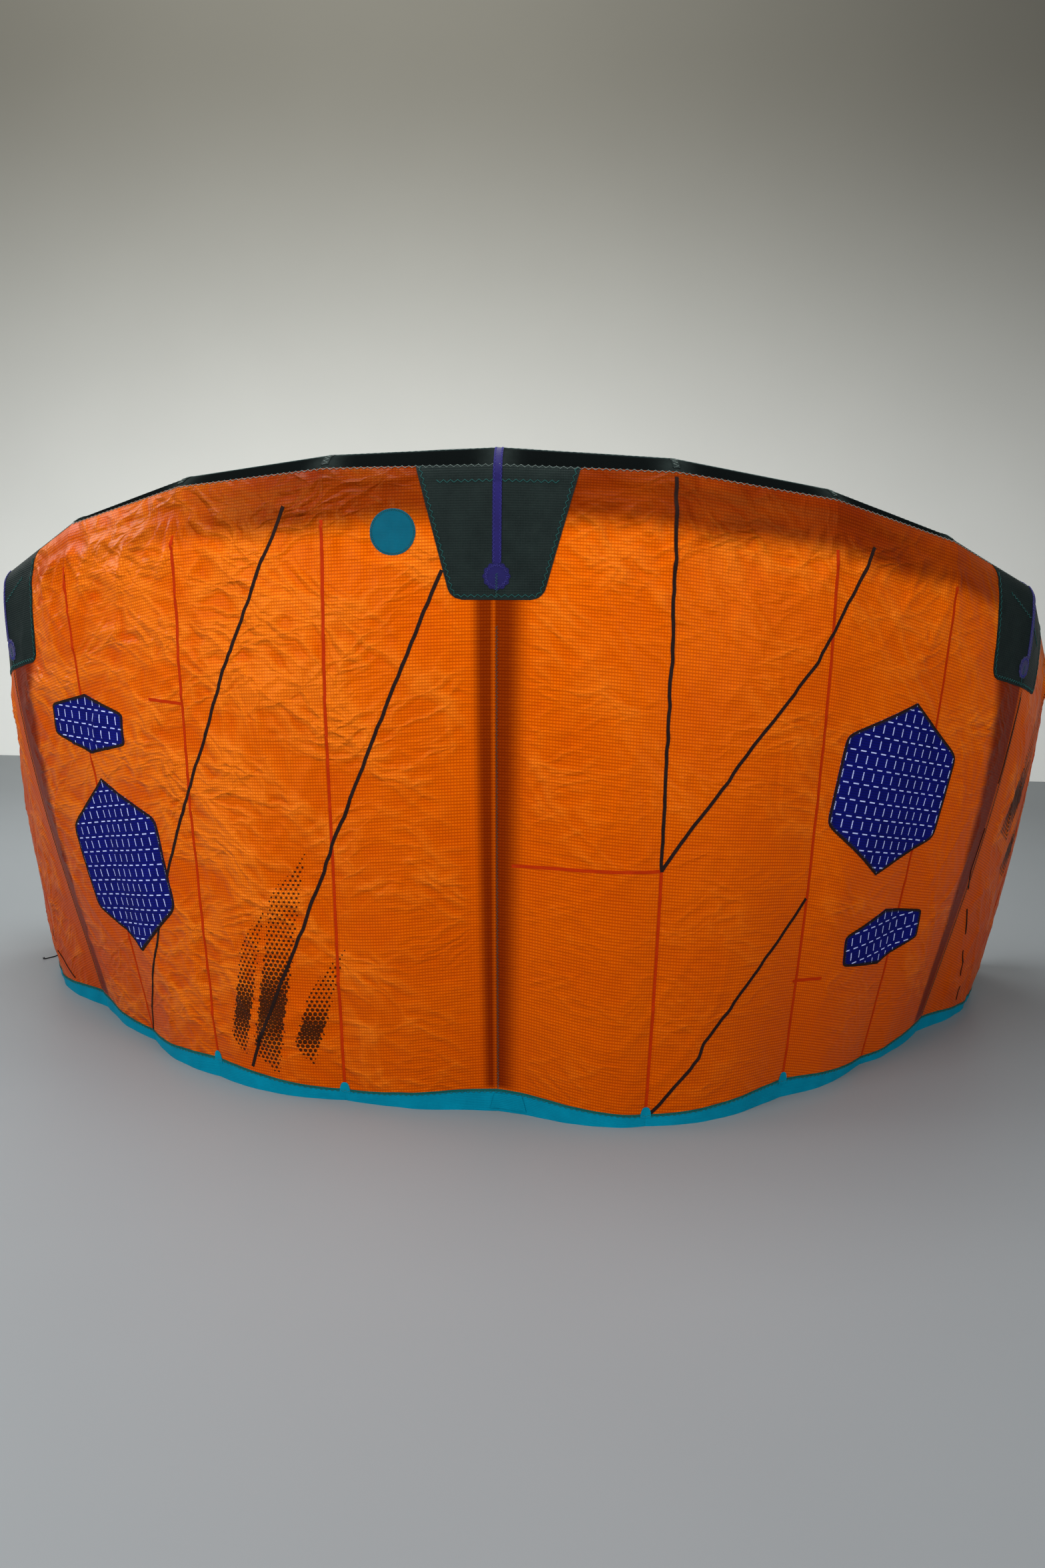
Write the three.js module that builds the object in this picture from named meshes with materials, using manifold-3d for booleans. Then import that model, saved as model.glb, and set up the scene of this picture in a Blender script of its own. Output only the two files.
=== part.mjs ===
// A small inflatable kite for kitesurfing, standing by itself on its trailing edge.
// Its canopy is an arch of sewn panels with their outer face to the front. An inflated
// leading edge tube carries them along the top and three inflated struts hold them from behind.
// Millimetres, +Z up, X along the span, the outer face towards -Y.
import * as THREE from 'three';
import { mergeVertices } from 'three/addons/utils/BufferGeometryUtils.js';
import Module from 'manifold-3d';

const wasm = await Module();
wasm.setup();

// ---- Driving dimensions ----

const gap = 0.3; // between neighbouring pieces
const canopyCloth = 1.5; // thickness of the canopy sheet
const bandCloth = 2; // thickness of the hem band along the trailing edge
const trimCloth = 1; // thickness of patches, tapes and appliques
const bayBow = 0.045; // how far the hem bows out between two seams, as a share of their distance
const columnsPerBay = 4; // faces across one panel
const tubeStep = 15; // degrees between the corners at the back of the leading edge tube
const strutSides = 12;

// One row for each seam, from the left tip to the right tip. x, y and z place the centre of the
// leading edge tube there and radius is its own. sewnAt is the angle above the tube's front at
// which the canopy is sewn on, and belly how far the sheet swells out below it. footX and footY
// are where the seam stands on the floor, and band is how high the hem band reaches up it.
// The kite doesn't stand evenly, so the two sides differ a little.
const seamFrames = [
  { x: -1612, y: 1432, z: 600, radius: 40, sewnAt: 48, belly: 44, footX: -1535, footY: 1330, band: 32 },
  { x: -1601, y: 1186, z: 881, radius: 47, sewnAt: 48, belly: 36, footX: -1536, footY: 1190, band: 34 },
  { x: -1507, y: 926, z: 1112, radius: 55, sewnAt: 48, belly: 34, footX: -1442, footY: 865, band: 32 },
  { x: -1392, y: 626, z: 1258, radius: 66, sewnAt: 46, belly: 39, footX: -1204, footY: 633, band: 56 },
  { x: -1088, y: 357, z: 1375, radius: 74, sewnAt: 44, belly: 37, footX: -971, footY: 379, band: 34 },
  { x: -748, y: 169, z: 1452, radius: 82, sewnAt: 40, belly: 31, footX: -712, footY: 146, band: 56 },
  { x: -386, y: 67, z: 1491, radius: 86, sewnAt: 35, belly: 30, footX: -361, footY: 28, band: 30 },
  { x: 0, y: 32, z: 1512, radius: 84, sewnAt: 27, belly: 38, footX: 25, footY: 0, band: 60 },
  { x: 387, y: 65, z: 1496, radius: 86, sewnAt: 35, belly: 31, footX: 383, footY: -58, band: 30 },
  { x: 761, y: 171, z: 1449, radius: 82, sewnAt: 40, belly: 33, footX: 743, footY: 140, band: 52 },
  { x: 1099, y: 358, z: 1371, radius: 74, sewnAt: 44, belly: 32, footX: 1007, footY: 377, band: 24 },
  { x: 1400, y: 624, z: 1272, radius: 67, sewnAt: 46, belly: 40, footX: 1239, footY: 650, band: 50 },
  { x: 1571, y: 922, z: 1120, radius: 56, sewnAt: 48, belly: 34, footX: 1470, footY: 915, band: 26 },
  { x: 1589, y: 1187, z: 882, radius: 46, sewnAt: 48, belly: 36, footX: 1556, footY: 1215, band: 34 },
  { x: 1612, y: 1432, z: 600, radius: 40, sewnAt: 48, belly: 44, footX: 1556, footY: 1350, band: 32 },
];

// Soft folds in the sheet. seam is where along the span a fold starts at the tube, counted in
// seams from the middle, drift how many seams it wanders on its way down, from and to its reach
// (0 at the tube, 1 at the hem band), width its half width in seams and rise its height.
const softFolds = [
  { seam: -5.45, drift: 0.1, from: 0.1, to: 0.95, width: 0.3, rise: 9 },
  { seam: -4.55, drift: 0.2, from: 0.15, to: 1, width: 0.3, rise: -9 },
  { seam: -3.72, drift: 0.1, from: 0.2, to: 0.9, width: 0.3, rise: 7 },
  { seam: -2.9, drift: -0.5, from: 0.05, to: 0.45, width: 0.3, rise: 6 },
  { seam: -1.35, drift: 0.3, from: 0.35, to: 0.8, width: 0.35, rise: -6 },
  { seam: 0.6, drift: 0.25, from: 0.35, to: 1, width: 0.4, rise: 9 },
  { seam: 2.45, drift: -0.4, from: 0.1, to: 0.6, width: 0.3, rise: -6 },
  { seam: 3.6, drift: -0.2, from: 0.15, to: 0.95, width: 0.3, rise: 8 },
  { seam: 4.5, drift: 0.15, from: 0.1, to: 0.95, width: 0.3, rise: -9 },
  { seam: 5.5, drift: 0, from: 0.15, to: 0.9, width: 0.3, rise: 8 },
];

// Where the sheet has its rows of corners. The first ones lie on the leading edge tube: 2 is its
// top, 1 the line where the canopy is sewn on and 0 its front. Then come the shares of the way
// down to the hem band, and those down the band.
const tubeLevels = [2, 5 / 3, 4 / 3, 1, 0.5, 0];
const sheetShares = [0.05, 0.12, 0.21, 0.32, 0.44, 0.57, 0.7, 0.82, 0.92, 1];
const bandShares = [0.5, 1];

const struts = [
  { name: 'strut_left', seam: -4, topRadius: 40, tailRadius: 21 },
  { name: 'strut_centre', seam: 0, topRadius: 47, tailRadius: 24 },
  { name: 'strut_right', seam: 4, topRadius: 40, tailRadius: 21 },
];
const strutEnd = 0.6; // where its tail ends between the last row of corners and the hem band
const tipCap = [ // the closed end of the leading edge: steps out and shares of the radius
  { step: 0, share: 1 },
  { step: 15, share: 0.86 },
  { step: 26, share: 0.5 },
];
const tailCap = [
  { step: 0, share: 1 },
  { step: 8, share: 0.8 },
  { step: 13, share: 0.4 },
];

// Dark patches over the strut heads, in half widths, with the length down the sheet as drop.
const headPatches = [
  { name: 'left', seam: -4, topHalf: 216, footHalf: 165, drop: 275 },
  { name: 'centre', seam: 0, topHalf: 187, footHalf: 104, drop: 300 },
  { name: 'right', seam: 4, topHalf: 216, footHalf: 165, drop: 275 },
];
const patchCorner = 26; // rounding at its foot
const patchHead = 60; // its outline starts this far above the canopy's edge, where the cloth ends
const tapeWidth = 20;
const tapeHead = 200; // likewise, so that the tape reaches over the tube to its top
const rosette = { radius: 30, lobes: 12, lobeDepth: 3, aboveFoot: 52 };
const roundLabel = { seam: -0.59, height: 1398, radius: 53 };

// Blue six-sided appliques: seam and height place the middle, turn is in degrees.
const appliques = [
  { name: 'applique_left_large', seam: -2.84, height: 530, width: 420, tall: 480, turn: 8 },
  { name: 'applique_left_small', seam: -2.97, height: 908, width: 330, tall: 160, turn: -4 },
  { name: 'applique_right_large', seam: 2.69, height: 796, width: 430, tall: 450, turn: -8 },
  { name: 'applique_right_small', seam: 2.84, height: 393, width: 330, tall: 160, turn: 6 },
];

// The line pigtail at the left tip: from the corner of the hem out onto the floor.
const pigtail = {
  diameter: 3.6,
  knotRadius: 4.6,
  route: [
    [-1547.4, 1308.1, 13.9],
    [-1554, 1309.3, 11.2],
    [-1562, 1307, 8],
    [-1572, 1298, 4.6],
    [-1579, 1284, 2.6],
    [-1582, 1262, 2],
    [-1582, 1236, 2],
    [-1580, 1206, 2],
    [-1577, 1174, 2],
    [-1576, 1144, 2],
    [-1579, 1118, 2],
    [-1589, 1094, 2],
    [-1605, 1073, 2],
  ],
};

const finishes = {
  canopy: { color: 0xe85a10, roughness: 0.55 },
  tube: { color: 0x1c2422, roughness: 0.6 },
  strut: { color: 0xb8421a, roughness: 0.6 },
  band: { color: 0x0e8fa0, roughness: 0.6 },
  patch: { color: 0x20302c, roughness: 0.6 },
  tape: { color: 0x2a2470, roughness: 0.7 },
  label: { color: 0x1f8aa0, roughness: 0.5 },
  applique: { color: 0x2320a0, roughness: 0.65 },
  cord: { color: 0x1b1b1b, roughness: 0.8 },
};

// ---- The seams ----

const lastSeam = seamFrames.length - 1;
const seamsPerSide = lastSeam / 2;
const radians = THREE.MathUtils.degToRad;
const between = (a, b, share) => a.clone().lerp(b, share);

// Each seam has the tube's centre, its foot on the floor, and the tube's own axes: along, then
// out, level and square to the tube, and rise, square to both.
const seams = seamFrames.map((frame) => ({
  ...frame,
  tube: new THREE.Vector3(frame.x, frame.y, frame.z),
  foot: new THREE.Vector3(frame.footX, frame.footY, 0),
  bandStart: 1 - frame.band / frame.z,
}));
seams.forEach((seam, k) => {
  const before = seams[Math.max(k - 1, 0)].tube;
  const after = seams[Math.min(k + 1, lastSeam)].tube;
  seam.along = after.clone().sub(before).normalize();
  seam.out = new THREE.Vector3(seam.along.y, -seam.along.x, 0).normalize();
  seam.rise = seam.out.clone().cross(seam.along).normalize();
});

// ---- The sheet ----

const rows = [
  ...tubeLevels.map((level) => ({ level, way: 0 })),
  ...sheetShares.map((way) => ({ way })),
  ...bandShares.map((band) => ({ way: 1, band })),
];
const canopyTop = tubeLevels.indexOf(1);
const tubeFront = tubeLevels.length - 1;
const canopyFoot = tubeLevels.length + sheetShares.length - 1;
const floorRow = rows.length - 1;
const lastColumn = lastSeam * columnsPerBay;
const columnOfSeam = (seam) => Math.round((seam + seamsPerSide) * columnsPerBay);

// The sheet's belly: it swells quickly below the tube and runs out towards the hem.
const bellyAt = (way) => 4 * way ** 0.8 * (1 - way) ** 1.2;

// How far down from the tube's centre to the floor a row lies on one seam.
function wayToFloor(seam, row) {
  if (row.band === undefined) return row.way * seam.bandStart;
  return seam.bandStart + (1 - seam.bandStart) * row.band;
}

// The angle on the tube, in degrees above its front, of a level from 0 to 2.
function angleAt(seam, level) {
  return level <= 1 ? seam.sewnAt * level : seam.sewnAt + (90 - seam.sewnAt) * (level - 1);
}

function pointOnSeam(seam, row) {
  if (row.level !== undefined) {
    const angle = radians(angleAt(seam, row.level));
    return seam.tube
      .clone()
      .addScaledVector(seam.out, seam.radius * Math.cos(angle))
      .addScaledVector(seam.rise, seam.radius * Math.sin(angle));
  }
  const way = wayToFloor(seam, row);
  const bulge = seam.radius * (1 - way) + seam.belly * bellyAt(way);
  return between(seam.tube, seam.foot, way).addScaledVector(seam.out, bulge);
}

// A smooth curve through the seams, at a share of the way from one to the next.
function smoothThrough(points, share) {
  const [a, b, c, d] = points;
  const curved = new THREE.Vector3();
  for (const axis of ['x', 'y', 'z']) {
    const slopeB = (c[axis] - a[axis]) / 2;
    const slopeC = (d[axis] - b[axis]) / 2;
    const lift = 2 * share ** 3 - 3 * share ** 2;
    curved[axis] =
      (1 + lift) * b[axis] -
      lift * c[axis] +
      (share ** 3 - 2 * share ** 2 + share) * slopeB +
      (share ** 3 - share ** 2) * slopeC;
  }
  return curved;
}

function foldHeight(seamPlace, way) {
  let height = 0;
  for (const fold of softFolds) {
    const reach = (way - fold.from) / (fold.to - fold.from);
    if (reach <= 0 || reach >= 1) continue;
    const aside = (seamPlace - fold.seam - fold.drift * reach) / fold.width;
    height += fold.rise * Math.sin(Math.PI * reach) * Math.exp(-aside * aside);
  }
  return height;
}

// The sheet's inner face at a column and a row. On the tube it runs straight from seam to seam,
// and further down it rounds the seams off.
function pointOnSheet(column, row) {
  const k = Math.min(Math.floor(column / columnsPerBay), lastSeam - 1);
  const share = column / columnsPerBay - k;
  const here = seams[k];
  const next = seams[k + 1];
  const first = pointOnSeam(here, row);
  const second = pointOnSeam(next, row);
  const straight = between(first, second, share);
  if (row.level !== undefined) return straight;
  const before = k > 0 ? pointOnSeam(seams[k - 1], row) : first.clone().lerp(second, -1);
  const after =
    k + 2 <= lastSeam ? pointOnSeam(seams[k + 2], row) : first.clone().lerp(second, 2);
  const curved = smoothThrough([before, first, second, after], share);
  const ease = THREE.MathUtils.smoothstep(row.way, 0, 0.35);
  const out = between(here.out, next.out, share).normalize();
  const width = here.foot.distanceTo(next.foot);
  const bow = bayBow * width * Math.sin(Math.PI * share) * row.way;
  const fold = foldHeight(column / columnsPerBay - seamsPerSide, row.way);
  return between(straight, curved, ease).addScaledVector(out, bow + fold);
}

const sheet = rows.map((row) =>
  Array.from({ length: lastColumn + 1 }, (_, column) => ({ p: pointOnSheet(column, row) })),
);

// Each corner's outward direction is square to the lines through its neighbours.
sheet.forEach((line, r) => {
  line.forEach((corner, c) => {
    const above = sheet[Math.max(r - 1, 0)][c].p;
    const below = sheet[Math.min(r + 1, floorRow)][c].p;
    const left = line[Math.max(c - 1, 0)].p;
    const right = line[Math.min(c + 1, lastColumn)].p;
    corner.n = below.clone().sub(above).cross(right.clone().sub(left)).normalize();
    if (r === floorRow) corner.n.setZ(0).normalize(); // so the band stands flat on the floor
  });
});

// ---- Closed solids from rows of points ----

function geometryOf(points, faces) {
  const geometry = new THREE.BufferGeometry();
  geometry.setAttribute('position', new THREE.Float32BufferAttribute(points.flat(), 3));
  geometry.setIndex(faces.flat());
  return geometry;
}

// A point a short way from one corner of the sheet towards another, lifted off the sheet. If the
// two are the same corner, it stays there.
function liftedCorner(corner, neighbour, step, lift) {
  const share = corner === neighbour ? 0 : step / corner.p.distanceTo(neighbour.p);
  const n = between(corner.n, neighbour.n, share).normalize();
  return between(corner.p, neighbour.p, share).addScaledVector(n, lift);
}

// A piece of cloth on the sheet: columns and rows give its first and last, inner and outer how far
// its faces lie off the sheet on each row. Its edges stop half a gap short of its neighbours.
function clothOnSheet({ columns, rows: span, inner, outer }) {
  const [c0, c1] = columns;
  const [r0, r1] = span;
  const across = c1 - c0 + 1;
  const points = [];
  const place = (r, c, lift) => {
    const inwardColumn = c === c0 ? c + 1 : c === c1 ? c - 1 : c;
    const inwardRow = r === r0 && r > 0 ? r + 1 : r === r1 && r < floorRow ? r - 1 : r;
    const corner = sheet[r][c];
    const point = liftedCorner(corner, sheet[r][inwardColumn], gap / 2, lift);
    const step = sheet[inwardRow][c].p.clone().sub(corner.p).setLength(gap / 2);
    return point.add(step).toArray();
  };
  for (const lift of [outer, inner])
    for (let r = r0; r <= r1; r += 1)
      for (let c = c0; c <= c1; c += 1) points.push(place(r, c, lift(r)));
  const at = (r, c) => (r - r0) * across + (c - c0);
  const layer = points.length / 2;
  const faces = [];
  for (let r = r0; r < r1; r += 1)
    for (let c = c0; c < c1; c += 1) {
      const [a, b, d, e] = [at(r, c), at(r + 1, c), at(r, c + 1), at(r + 1, c + 1)];
      faces.push([a, b, d], [b, e, d]);
      faces.push([a + layer, d + layer, b + layer], [b + layer, d + layer, e + layer]);
    }
  const rim = [];
  for (let r = r0; r < r1; r += 1) rim.push(at(r, c0));
  for (let c = c0; c < c1; c += 1) rim.push(at(r1, c));
  for (let r = r1; r > r0; r -= 1) rim.push(at(r, c1));
  for (let c = c1; c > c0; c -= 1) rim.push(at(r0, c));
  rim.forEach((u, i) => {
    const v = rim[(i + 1) % rim.length];
    faces.push([v, u, u + layer], [v, u + layer, v + layer]);
  });
  return geometryOf(points, faces);
}

const always = (lift) => () => lift;

// Angles in degrees that divide a turn, or a part of it, evenly.
const evenAngles = (step, from = 0) =>
  Array.from({ length: Math.round((360 - from) / step) }, (_, i) => from + i * step);

// A ring of points round a centre, at angles from the direction first towards second.
function ringOf(centre, first, second, radius, angles) {
  return angles.map((angle) =>
    centre
      .clone()
      .addScaledVector(first, radius * Math.cos(radians(angle)))
      .addScaledVector(second, radius * Math.sin(radians(angle))),
  );
}

// A closed tube through rings of points, flat at both ends. Its sides are split along the
// diagonal that rises from the first ring, or along the other one.
function tubeThrough(rings, risingDiagonal = false) {
  const sides = rings[0].length;
  const points = rings.flat().map((point) => point.toArray());
  const last = (rings.length - 1) * sides;
  const faces = [];
  for (let i = 0; i < sides; i += 1) {
    const j = (i + 1) % sides;
    for (let ring = 0; ring < last; ring += sides) {
      const [a, b] = [ring + i, ring + j];
      if (risingDiagonal) faces.push([a, a + sides, b + sides], [a, b + sides, b]);
      else faces.push([a, a + sides, b], [b, a + sides, b + sides]);
    }
    if (i > 0 && j > 0) faces.push([0, i, j], [last, last + j, last + i]);
  }
  return geometryOf(points, faces);
}

function solidOf(geometry) {
  const bare = new THREE.BufferGeometry();
  bare.setAttribute('position', geometry.getAttribute('position'));
  if (geometry.index) bare.setIndex(geometry.index);
  const merged = mergeVertices(bare, 1e-3);
  return new wasm.Manifold(
    new wasm.Mesh({
      numProp: 3,
      vertProperties: new Float32Array(merged.getAttribute('position').array),
      triVerts: new Uint32Array(merged.index.array),
    }),
  );
}

function geometryFrom(solid) {
  const { vertProperties, triVerts } = solid.getMesh();
  const geometry = new THREE.BufferGeometry();
  geometry.setAttribute('position', new THREE.BufferAttribute(vertProperties, 3));
  geometry.setIndex(new THREE.BufferAttribute(triVerts, 1));
  return geometry;
}

// ---- The leading edge ----

// The tube has a corner on each row of the sheet, and even corners over its top and back.
const tubeAngles = (seam) => [
  ...tubeLevels.slice(1).reverse().map((level) => angleAt(seam, level)),
  ...evenAngles(tubeStep, 90),
];
const seamRing = (seam, grow) =>
  ringOf(seam.tube, seam.out, seam.rise, seam.radius + grow, tubeAngles(seam));

// One straight length of the leading edge, from one seam to the next. At a tip it ends in a
// rounded cap.
function tubeLength(k, { grow = 0, shorten = gap / 2 } = {}) {
  const first = seamRing(seams[k], grow);
  const second = seamRing(seams[k + 1], grow);
  const share = shorten / seams[k].tube.distanceTo(seams[k + 1].tube);
  const rings = [
    first.map((point, i) => between(point, second[i], share)),
    second.map((point, i) => between(point, first[i], share)),
  ];
  const cap = (seam, way) =>
    tipCap.map(({ step, share: size }) =>
      ringOf(
        seam.tube.clone().addScaledVector(seam.along, way * step),
        seam.out,
        seam.rise,
        seam.radius * size,
        tubeAngles(seam),
      ),
    );
  if (k === 0) rings.splice(0, 1, ...cap(seams[0], -1).reverse());
  if (k === lastSeam - 1) rings.splice(-1, 1, ...cap(seams[lastSeam], 1));
  // On both sides the faces sink a little inwards, and stay clear of the canopy.
  return tubeThrough(rings, k >= seamsPerSide);
}

// ---- The struts ----

// A strut lies against the sheet's inner face along its seam and tapers towards its tail. Its head
// is cut to the leading edge.
function strutSolid({ seam, topRadius, tailRadius }) {
  const column = columnOfSeam(seam);
  const stops = [];
  for (let r = tubeFront; r < canopyFoot; r += 1) stops.push(sheet[r][column]);
  const tail = sheet[canopyFoot][column];
  const beforeTail = stops[stops.length - 1];
  stops.push({ p: between(beforeTail.p, tail.p, strutEnd), n: tail.n });
  const rings = [];
  stops.forEach((stop, i) => {
    const share = i / (stops.length - 1);
    const radius = THREE.MathUtils.lerp(topRadius, tailRadius, share);
    const from = stops[Math.max(i - 1, 0)].p;
    const to = stops[Math.min(i + 1, stops.length - 1)].p;
    const along = to.clone().sub(from).normalize();
    const aside = stop.n.clone().cross(along).normalize();
    const inward = along.clone().cross(aside).normalize();
    const centre = stop.p.clone().addScaledVector(inward, -radius - gap);
    const caps = i === stops.length - 1 ? tailCap : [{ step: 0, share: 1 }];
    for (const { step, share: size } of caps)
      rings.push(
        ringOf(
          centre.clone().addScaledVector(along, step),
          inward,
          aside,
          radius * size,
          evenAngles(360 / strutSides),
        ),
      );
  });
  let solid = solidOf(tubeThrough(rings));
  const k = seam + seamsPerSide;
  for (const length of [k - 1, k])
    solid = solid.subtract(solidOf(tubeLength(length, { grow: gap, shorten: -gap })));
  return solid;
}

// ---- Patches, tapes and appliques ----

const columnPlace = (seam) => (seam + seamsPerSide) * columnsPerBay;
const slopeRows = 3; // rows above and below that give a frame its slope

// The sheet at a row and at any place between two columns.
function sheetAt(row, place) {
  const c = Math.min(Math.floor(place), lastColumn - 1);
  const [here, next] = [sheet[row][c], sheet[row][c + 1]];
  return {
    p: between(here.p, next.p, place - c),
    n: between(here.n, next.n, place - c).normalize(),
  };
}

// A flat frame on the sheet at a row and a seam place: x to the right, y up the sheet and z
// outwards. Given a height, its middle slides along y to that height above the floor.
function frameOnSheet(seam, row, height) {
  const place = columnPlace(seam);
  const { p, n } = sheetAt(row, place);
  const higher = sheetAt(Math.max(row - slopeRows, canopyTop), place).p;
  const lower = sheetAt(Math.min(row + slopeRows, canopyFoot), place).p;
  const y = higher.clone().sub(lower).normalize();
  const x = y.clone().cross(n).normalize();
  const z = x.clone().cross(y);
  const origin = p.clone();
  if (height !== undefined) origin.addScaledVector(y, (height - p.z) / y.z);
  return new THREE.Matrix4().makeBasis(x, y, z).setPosition(origin);
}

// The frame at a seam place and a height above the floor.
function frameAt(seam, height) {
  const off = (r) => Math.abs(sheetAt(r, columnPlace(seam)).p.z - height);
  let nearest = canopyTop;
  for (let r = canopyTop; r <= canopyFoot; r += 1) if (off(r) < off(nearest)) nearest = r;
  return frameOnSheet(seam, nearest, height);
}

const cutDepth = 300; // of the blocks that cut an outline out of the sheet

function outlineSolid(shape, frame) {
  const block = new THREE.ExtrudeGeometry(shape, {
    depth: cutDepth,
    bevelEnabled: false,
    curveSegments: 5,
  });
  block.translate(0, 0, -cutDepth / 2);
  block.applyMatrix4(frame);
  return solidOf(block);
}

function polygonShape(corners) {
  const shape = new THREE.Shape();
  corners.forEach(([x, y], i) => (i ? shape.lineTo(x, y) : shape.moveTo(x, y)));
  shape.closePath();
  return shape;
}

function patchShape({ topHalf, footHalf, drop }) {
  const shape = new THREE.Shape();
  const slope = (topHalf - footHalf) / drop;
  const beside = footHalf + slope * patchCorner;
  shape.moveTo(-topHalf - slope * patchHead, patchHead);
  shape.lineTo(-beside, patchCorner - drop);
  shape.quadraticCurveTo(-footHalf, -drop, patchCorner - footHalf, -drop);
  shape.lineTo(footHalf - patchCorner, -drop);
  shape.quadraticCurveTo(footHalf, -drop, beside, patchCorner - drop);
  shape.lineTo(topHalf + slope * patchHead, patchHead);
  shape.closePath();
  return shape;
}

function rosetteShape(extra = 0) {
  const { radius, lobes, lobeDepth } = rosette;
  const stepsPerLobe = 2;
  const corners = Array.from({ length: lobes * stepsPerLobe }, (_, i) => {
    const turn = (2 * Math.PI * i) / (lobes * stepsPerLobe);
    const reach = radius + extra + (lobeDepth / 2) * Math.cos(lobes * turn);
    return [reach * Math.cos(turn), reach * Math.sin(turn)];
  });
  return polygonShape(corners);
}

function hexagonShape({ width, tall }) {
  const [w, t] = [width / 2, tall / 2];
  return polygonShape([
    [0, t],
    [-w, t / 2],
    [-w, -t / 2],
    [0, -t],
    [w, -t / 2],
    [w, t / 2],
  ]);
}

function circleShape(radius) {
  const shape = new THREE.Shape();
  shape.absarc(0, 0, radius, 0, 2 * Math.PI);
  return shape;
}

// How far off the sheet each layer of trim lies: patches on the canopy, tapes on the patches.
const layer1 = canopyCloth + 2 * gap;
const layer2 = layer1 + trimCloth + gap;
const tapeLift = (r) => (r < canopyTop ? gap : layer2);

function trimOnSheet({ column, reach, lift, from = canopyTop, to = canopyFoot }) {
  return solidOf(
    clothOnSheet({
      columns: [Math.max(column - reach, 0), Math.min(column + reach, lastColumn)],
      rows: [from, to],
      inner: lift,
      outer: (r) => lift(r) + trimCloth,
    }),
  );
}

// ---- The pieces, by name ----

const kite = new THREE.Group();
const cords = new THREE.Group();

function add(group, name, geometry, finish) {
  const mesh = new THREE.Mesh(geometry, new THREE.MeshStandardMaterial(finishes[finish]));
  mesh.name = name;
  group.add(mesh);
}

const bayName = (k) =>
  k < seamsPerSide ? `left_${seamsPerSide - k}` : `right_${k - seamsPerSide + 1}`;

for (let k = 0; k < lastSeam; k += 1) {
  const columns = [k * columnsPerBay, (k + 1) * columnsPerBay];
  add(kite, `leading_edge_${bayName(k)}`, tubeLength(k), 'tube');
  add(
    kite,
    `canopy_panel_${bayName(k)}`,
    clothOnSheet({
      columns,
      rows: [canopyTop, canopyFoot],
      inner: always(gap),
      outer: always(gap + canopyCloth),
    }),
    'canopy',
  );
}

// The hem band has one strip for each panel, and one strip for the two panels at a tip.
for (let k = 1; k < lastSeam - 1; k += 1) {
  const first = k === 1 ? 0 : k;
  const last = k === lastSeam - 2 ? lastSeam : k + 1;
  add(
    kite,
    `hem_band_${bayName(k)}`,
    clothOnSheet({
      columns: [first * columnsPerBay, last * columnsPerBay],
      rows: [canopyFoot, floorRow],
      inner: always(gap),
      outer: always(gap + bandCloth),
    }),
    'band',
  );
}

for (const strut of struts) add(kite, strut.name, geometryFrom(strutSolid(strut)), 'strut');

for (const patch of headPatches) {
  const column = columnOfSeam(patch.seam);
  const frame = frameOnSheet(patch.seam, canopyTop);
  const cloth = trimOnSheet({ column, reach: columnsPerBay, lift: always(layer1) });
  const outline = outlineSolid(patchShape(patch), frame);
  add(kite, `head_patch_${patch.name}`, geometryFrom(cloth.intersect(outline)), 'patch');

  const upperCloth = trimOnSheet({ column, reach: 2, lift: tapeLift, from: 0 });
  const rosetteFrame = frame
    .clone()
    .multiply(new THREE.Matrix4().makeTranslation(0, rosette.aboveFoot - patch.drop, 0));
  const disc = outlineSolid(rosetteShape(), rosetteFrame);
  add(kite, `rosette_${patch.name}`, geometryFrom(upperCloth.intersect(disc)), 'tape');

  const [w, foot] = [tapeWidth / 2, rosette.aboveFoot - patch.drop];
  const strip = polygonShape([[-w, foot], [w, foot], [w, tapeHead], [-w, tapeHead]]);
  const clearance = outlineSolid(rosetteShape(gap), rosetteFrame);
  const tape = upperCloth.intersect(outlineSolid(strip, frame)).subtract(clearance);
  add(kite, `strut_tape_${patch.name}`, geometryFrom(tape), 'tape');
}

{
  const column = columnOfSeam(roundLabel.seam);
  const cloth = trimOnSheet({ column, reach: 2, lift: always(layer1) });
  const outline = outlineSolid(
    circleShape(roundLabel.radius),
    frameAt(roundLabel.seam, roundLabel.height),
  );
  add(kite, 'round_label', geometryFrom(cloth.intersect(outline)), 'label');
}

for (const applique of appliques) {
  const column = columnOfSeam(applique.seam);
  const frame = frameAt(applique.seam, applique.height).multiply(
    new THREE.Matrix4().makeRotationZ(radians(applique.turn)),
  );
  const cloth = trimOnSheet({ column, reach: columnsPerBay, lift: always(layer1) });
  const outline = outlineSolid(hexagonShape(applique), frame);
  add(kite, applique.name, geometryFrom(cloth.intersect(outline)), 'applique');
}

{
  const route = pigtail.route.map((point) => new THREE.Vector3(...point));
  const line = new THREE.CatmullRomCurve3(route);
  const section = new THREE.Shape();
  const sides = 8;
  for (let i = 0; i < sides; i += 1) {
    const turn = (2 * Math.PI * i) / sides;
    const [x, y] = [Math.cos(turn), Math.sin(turn)].map((v) => (v * pigtail.diameter) / 2);
    if (i) section.lineTo(x, y);
    else section.moveTo(x, y);
  }
  section.closePath();
  const cord = new THREE.ExtrudeGeometry(section, { steps: 26, extrudePath: line });
  add(cords, 'pigtail_line', cord, 'cord');
  const knot = new THREE.SphereGeometry(pigtail.knotRadius, 12, 8);
  const end = route[route.length - 1];
  const away = line.getTangent(1);
  knot.applyMatrix4(
    new THREE.Matrix4().setPosition(
      end.clone().addScaledVector(away, pigtail.knotRadius + gap).setZ(pigtail.knotRadius),
    ),
  );
  add(cords, 'pigtail_knot', knot, 'cord');
}

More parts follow.
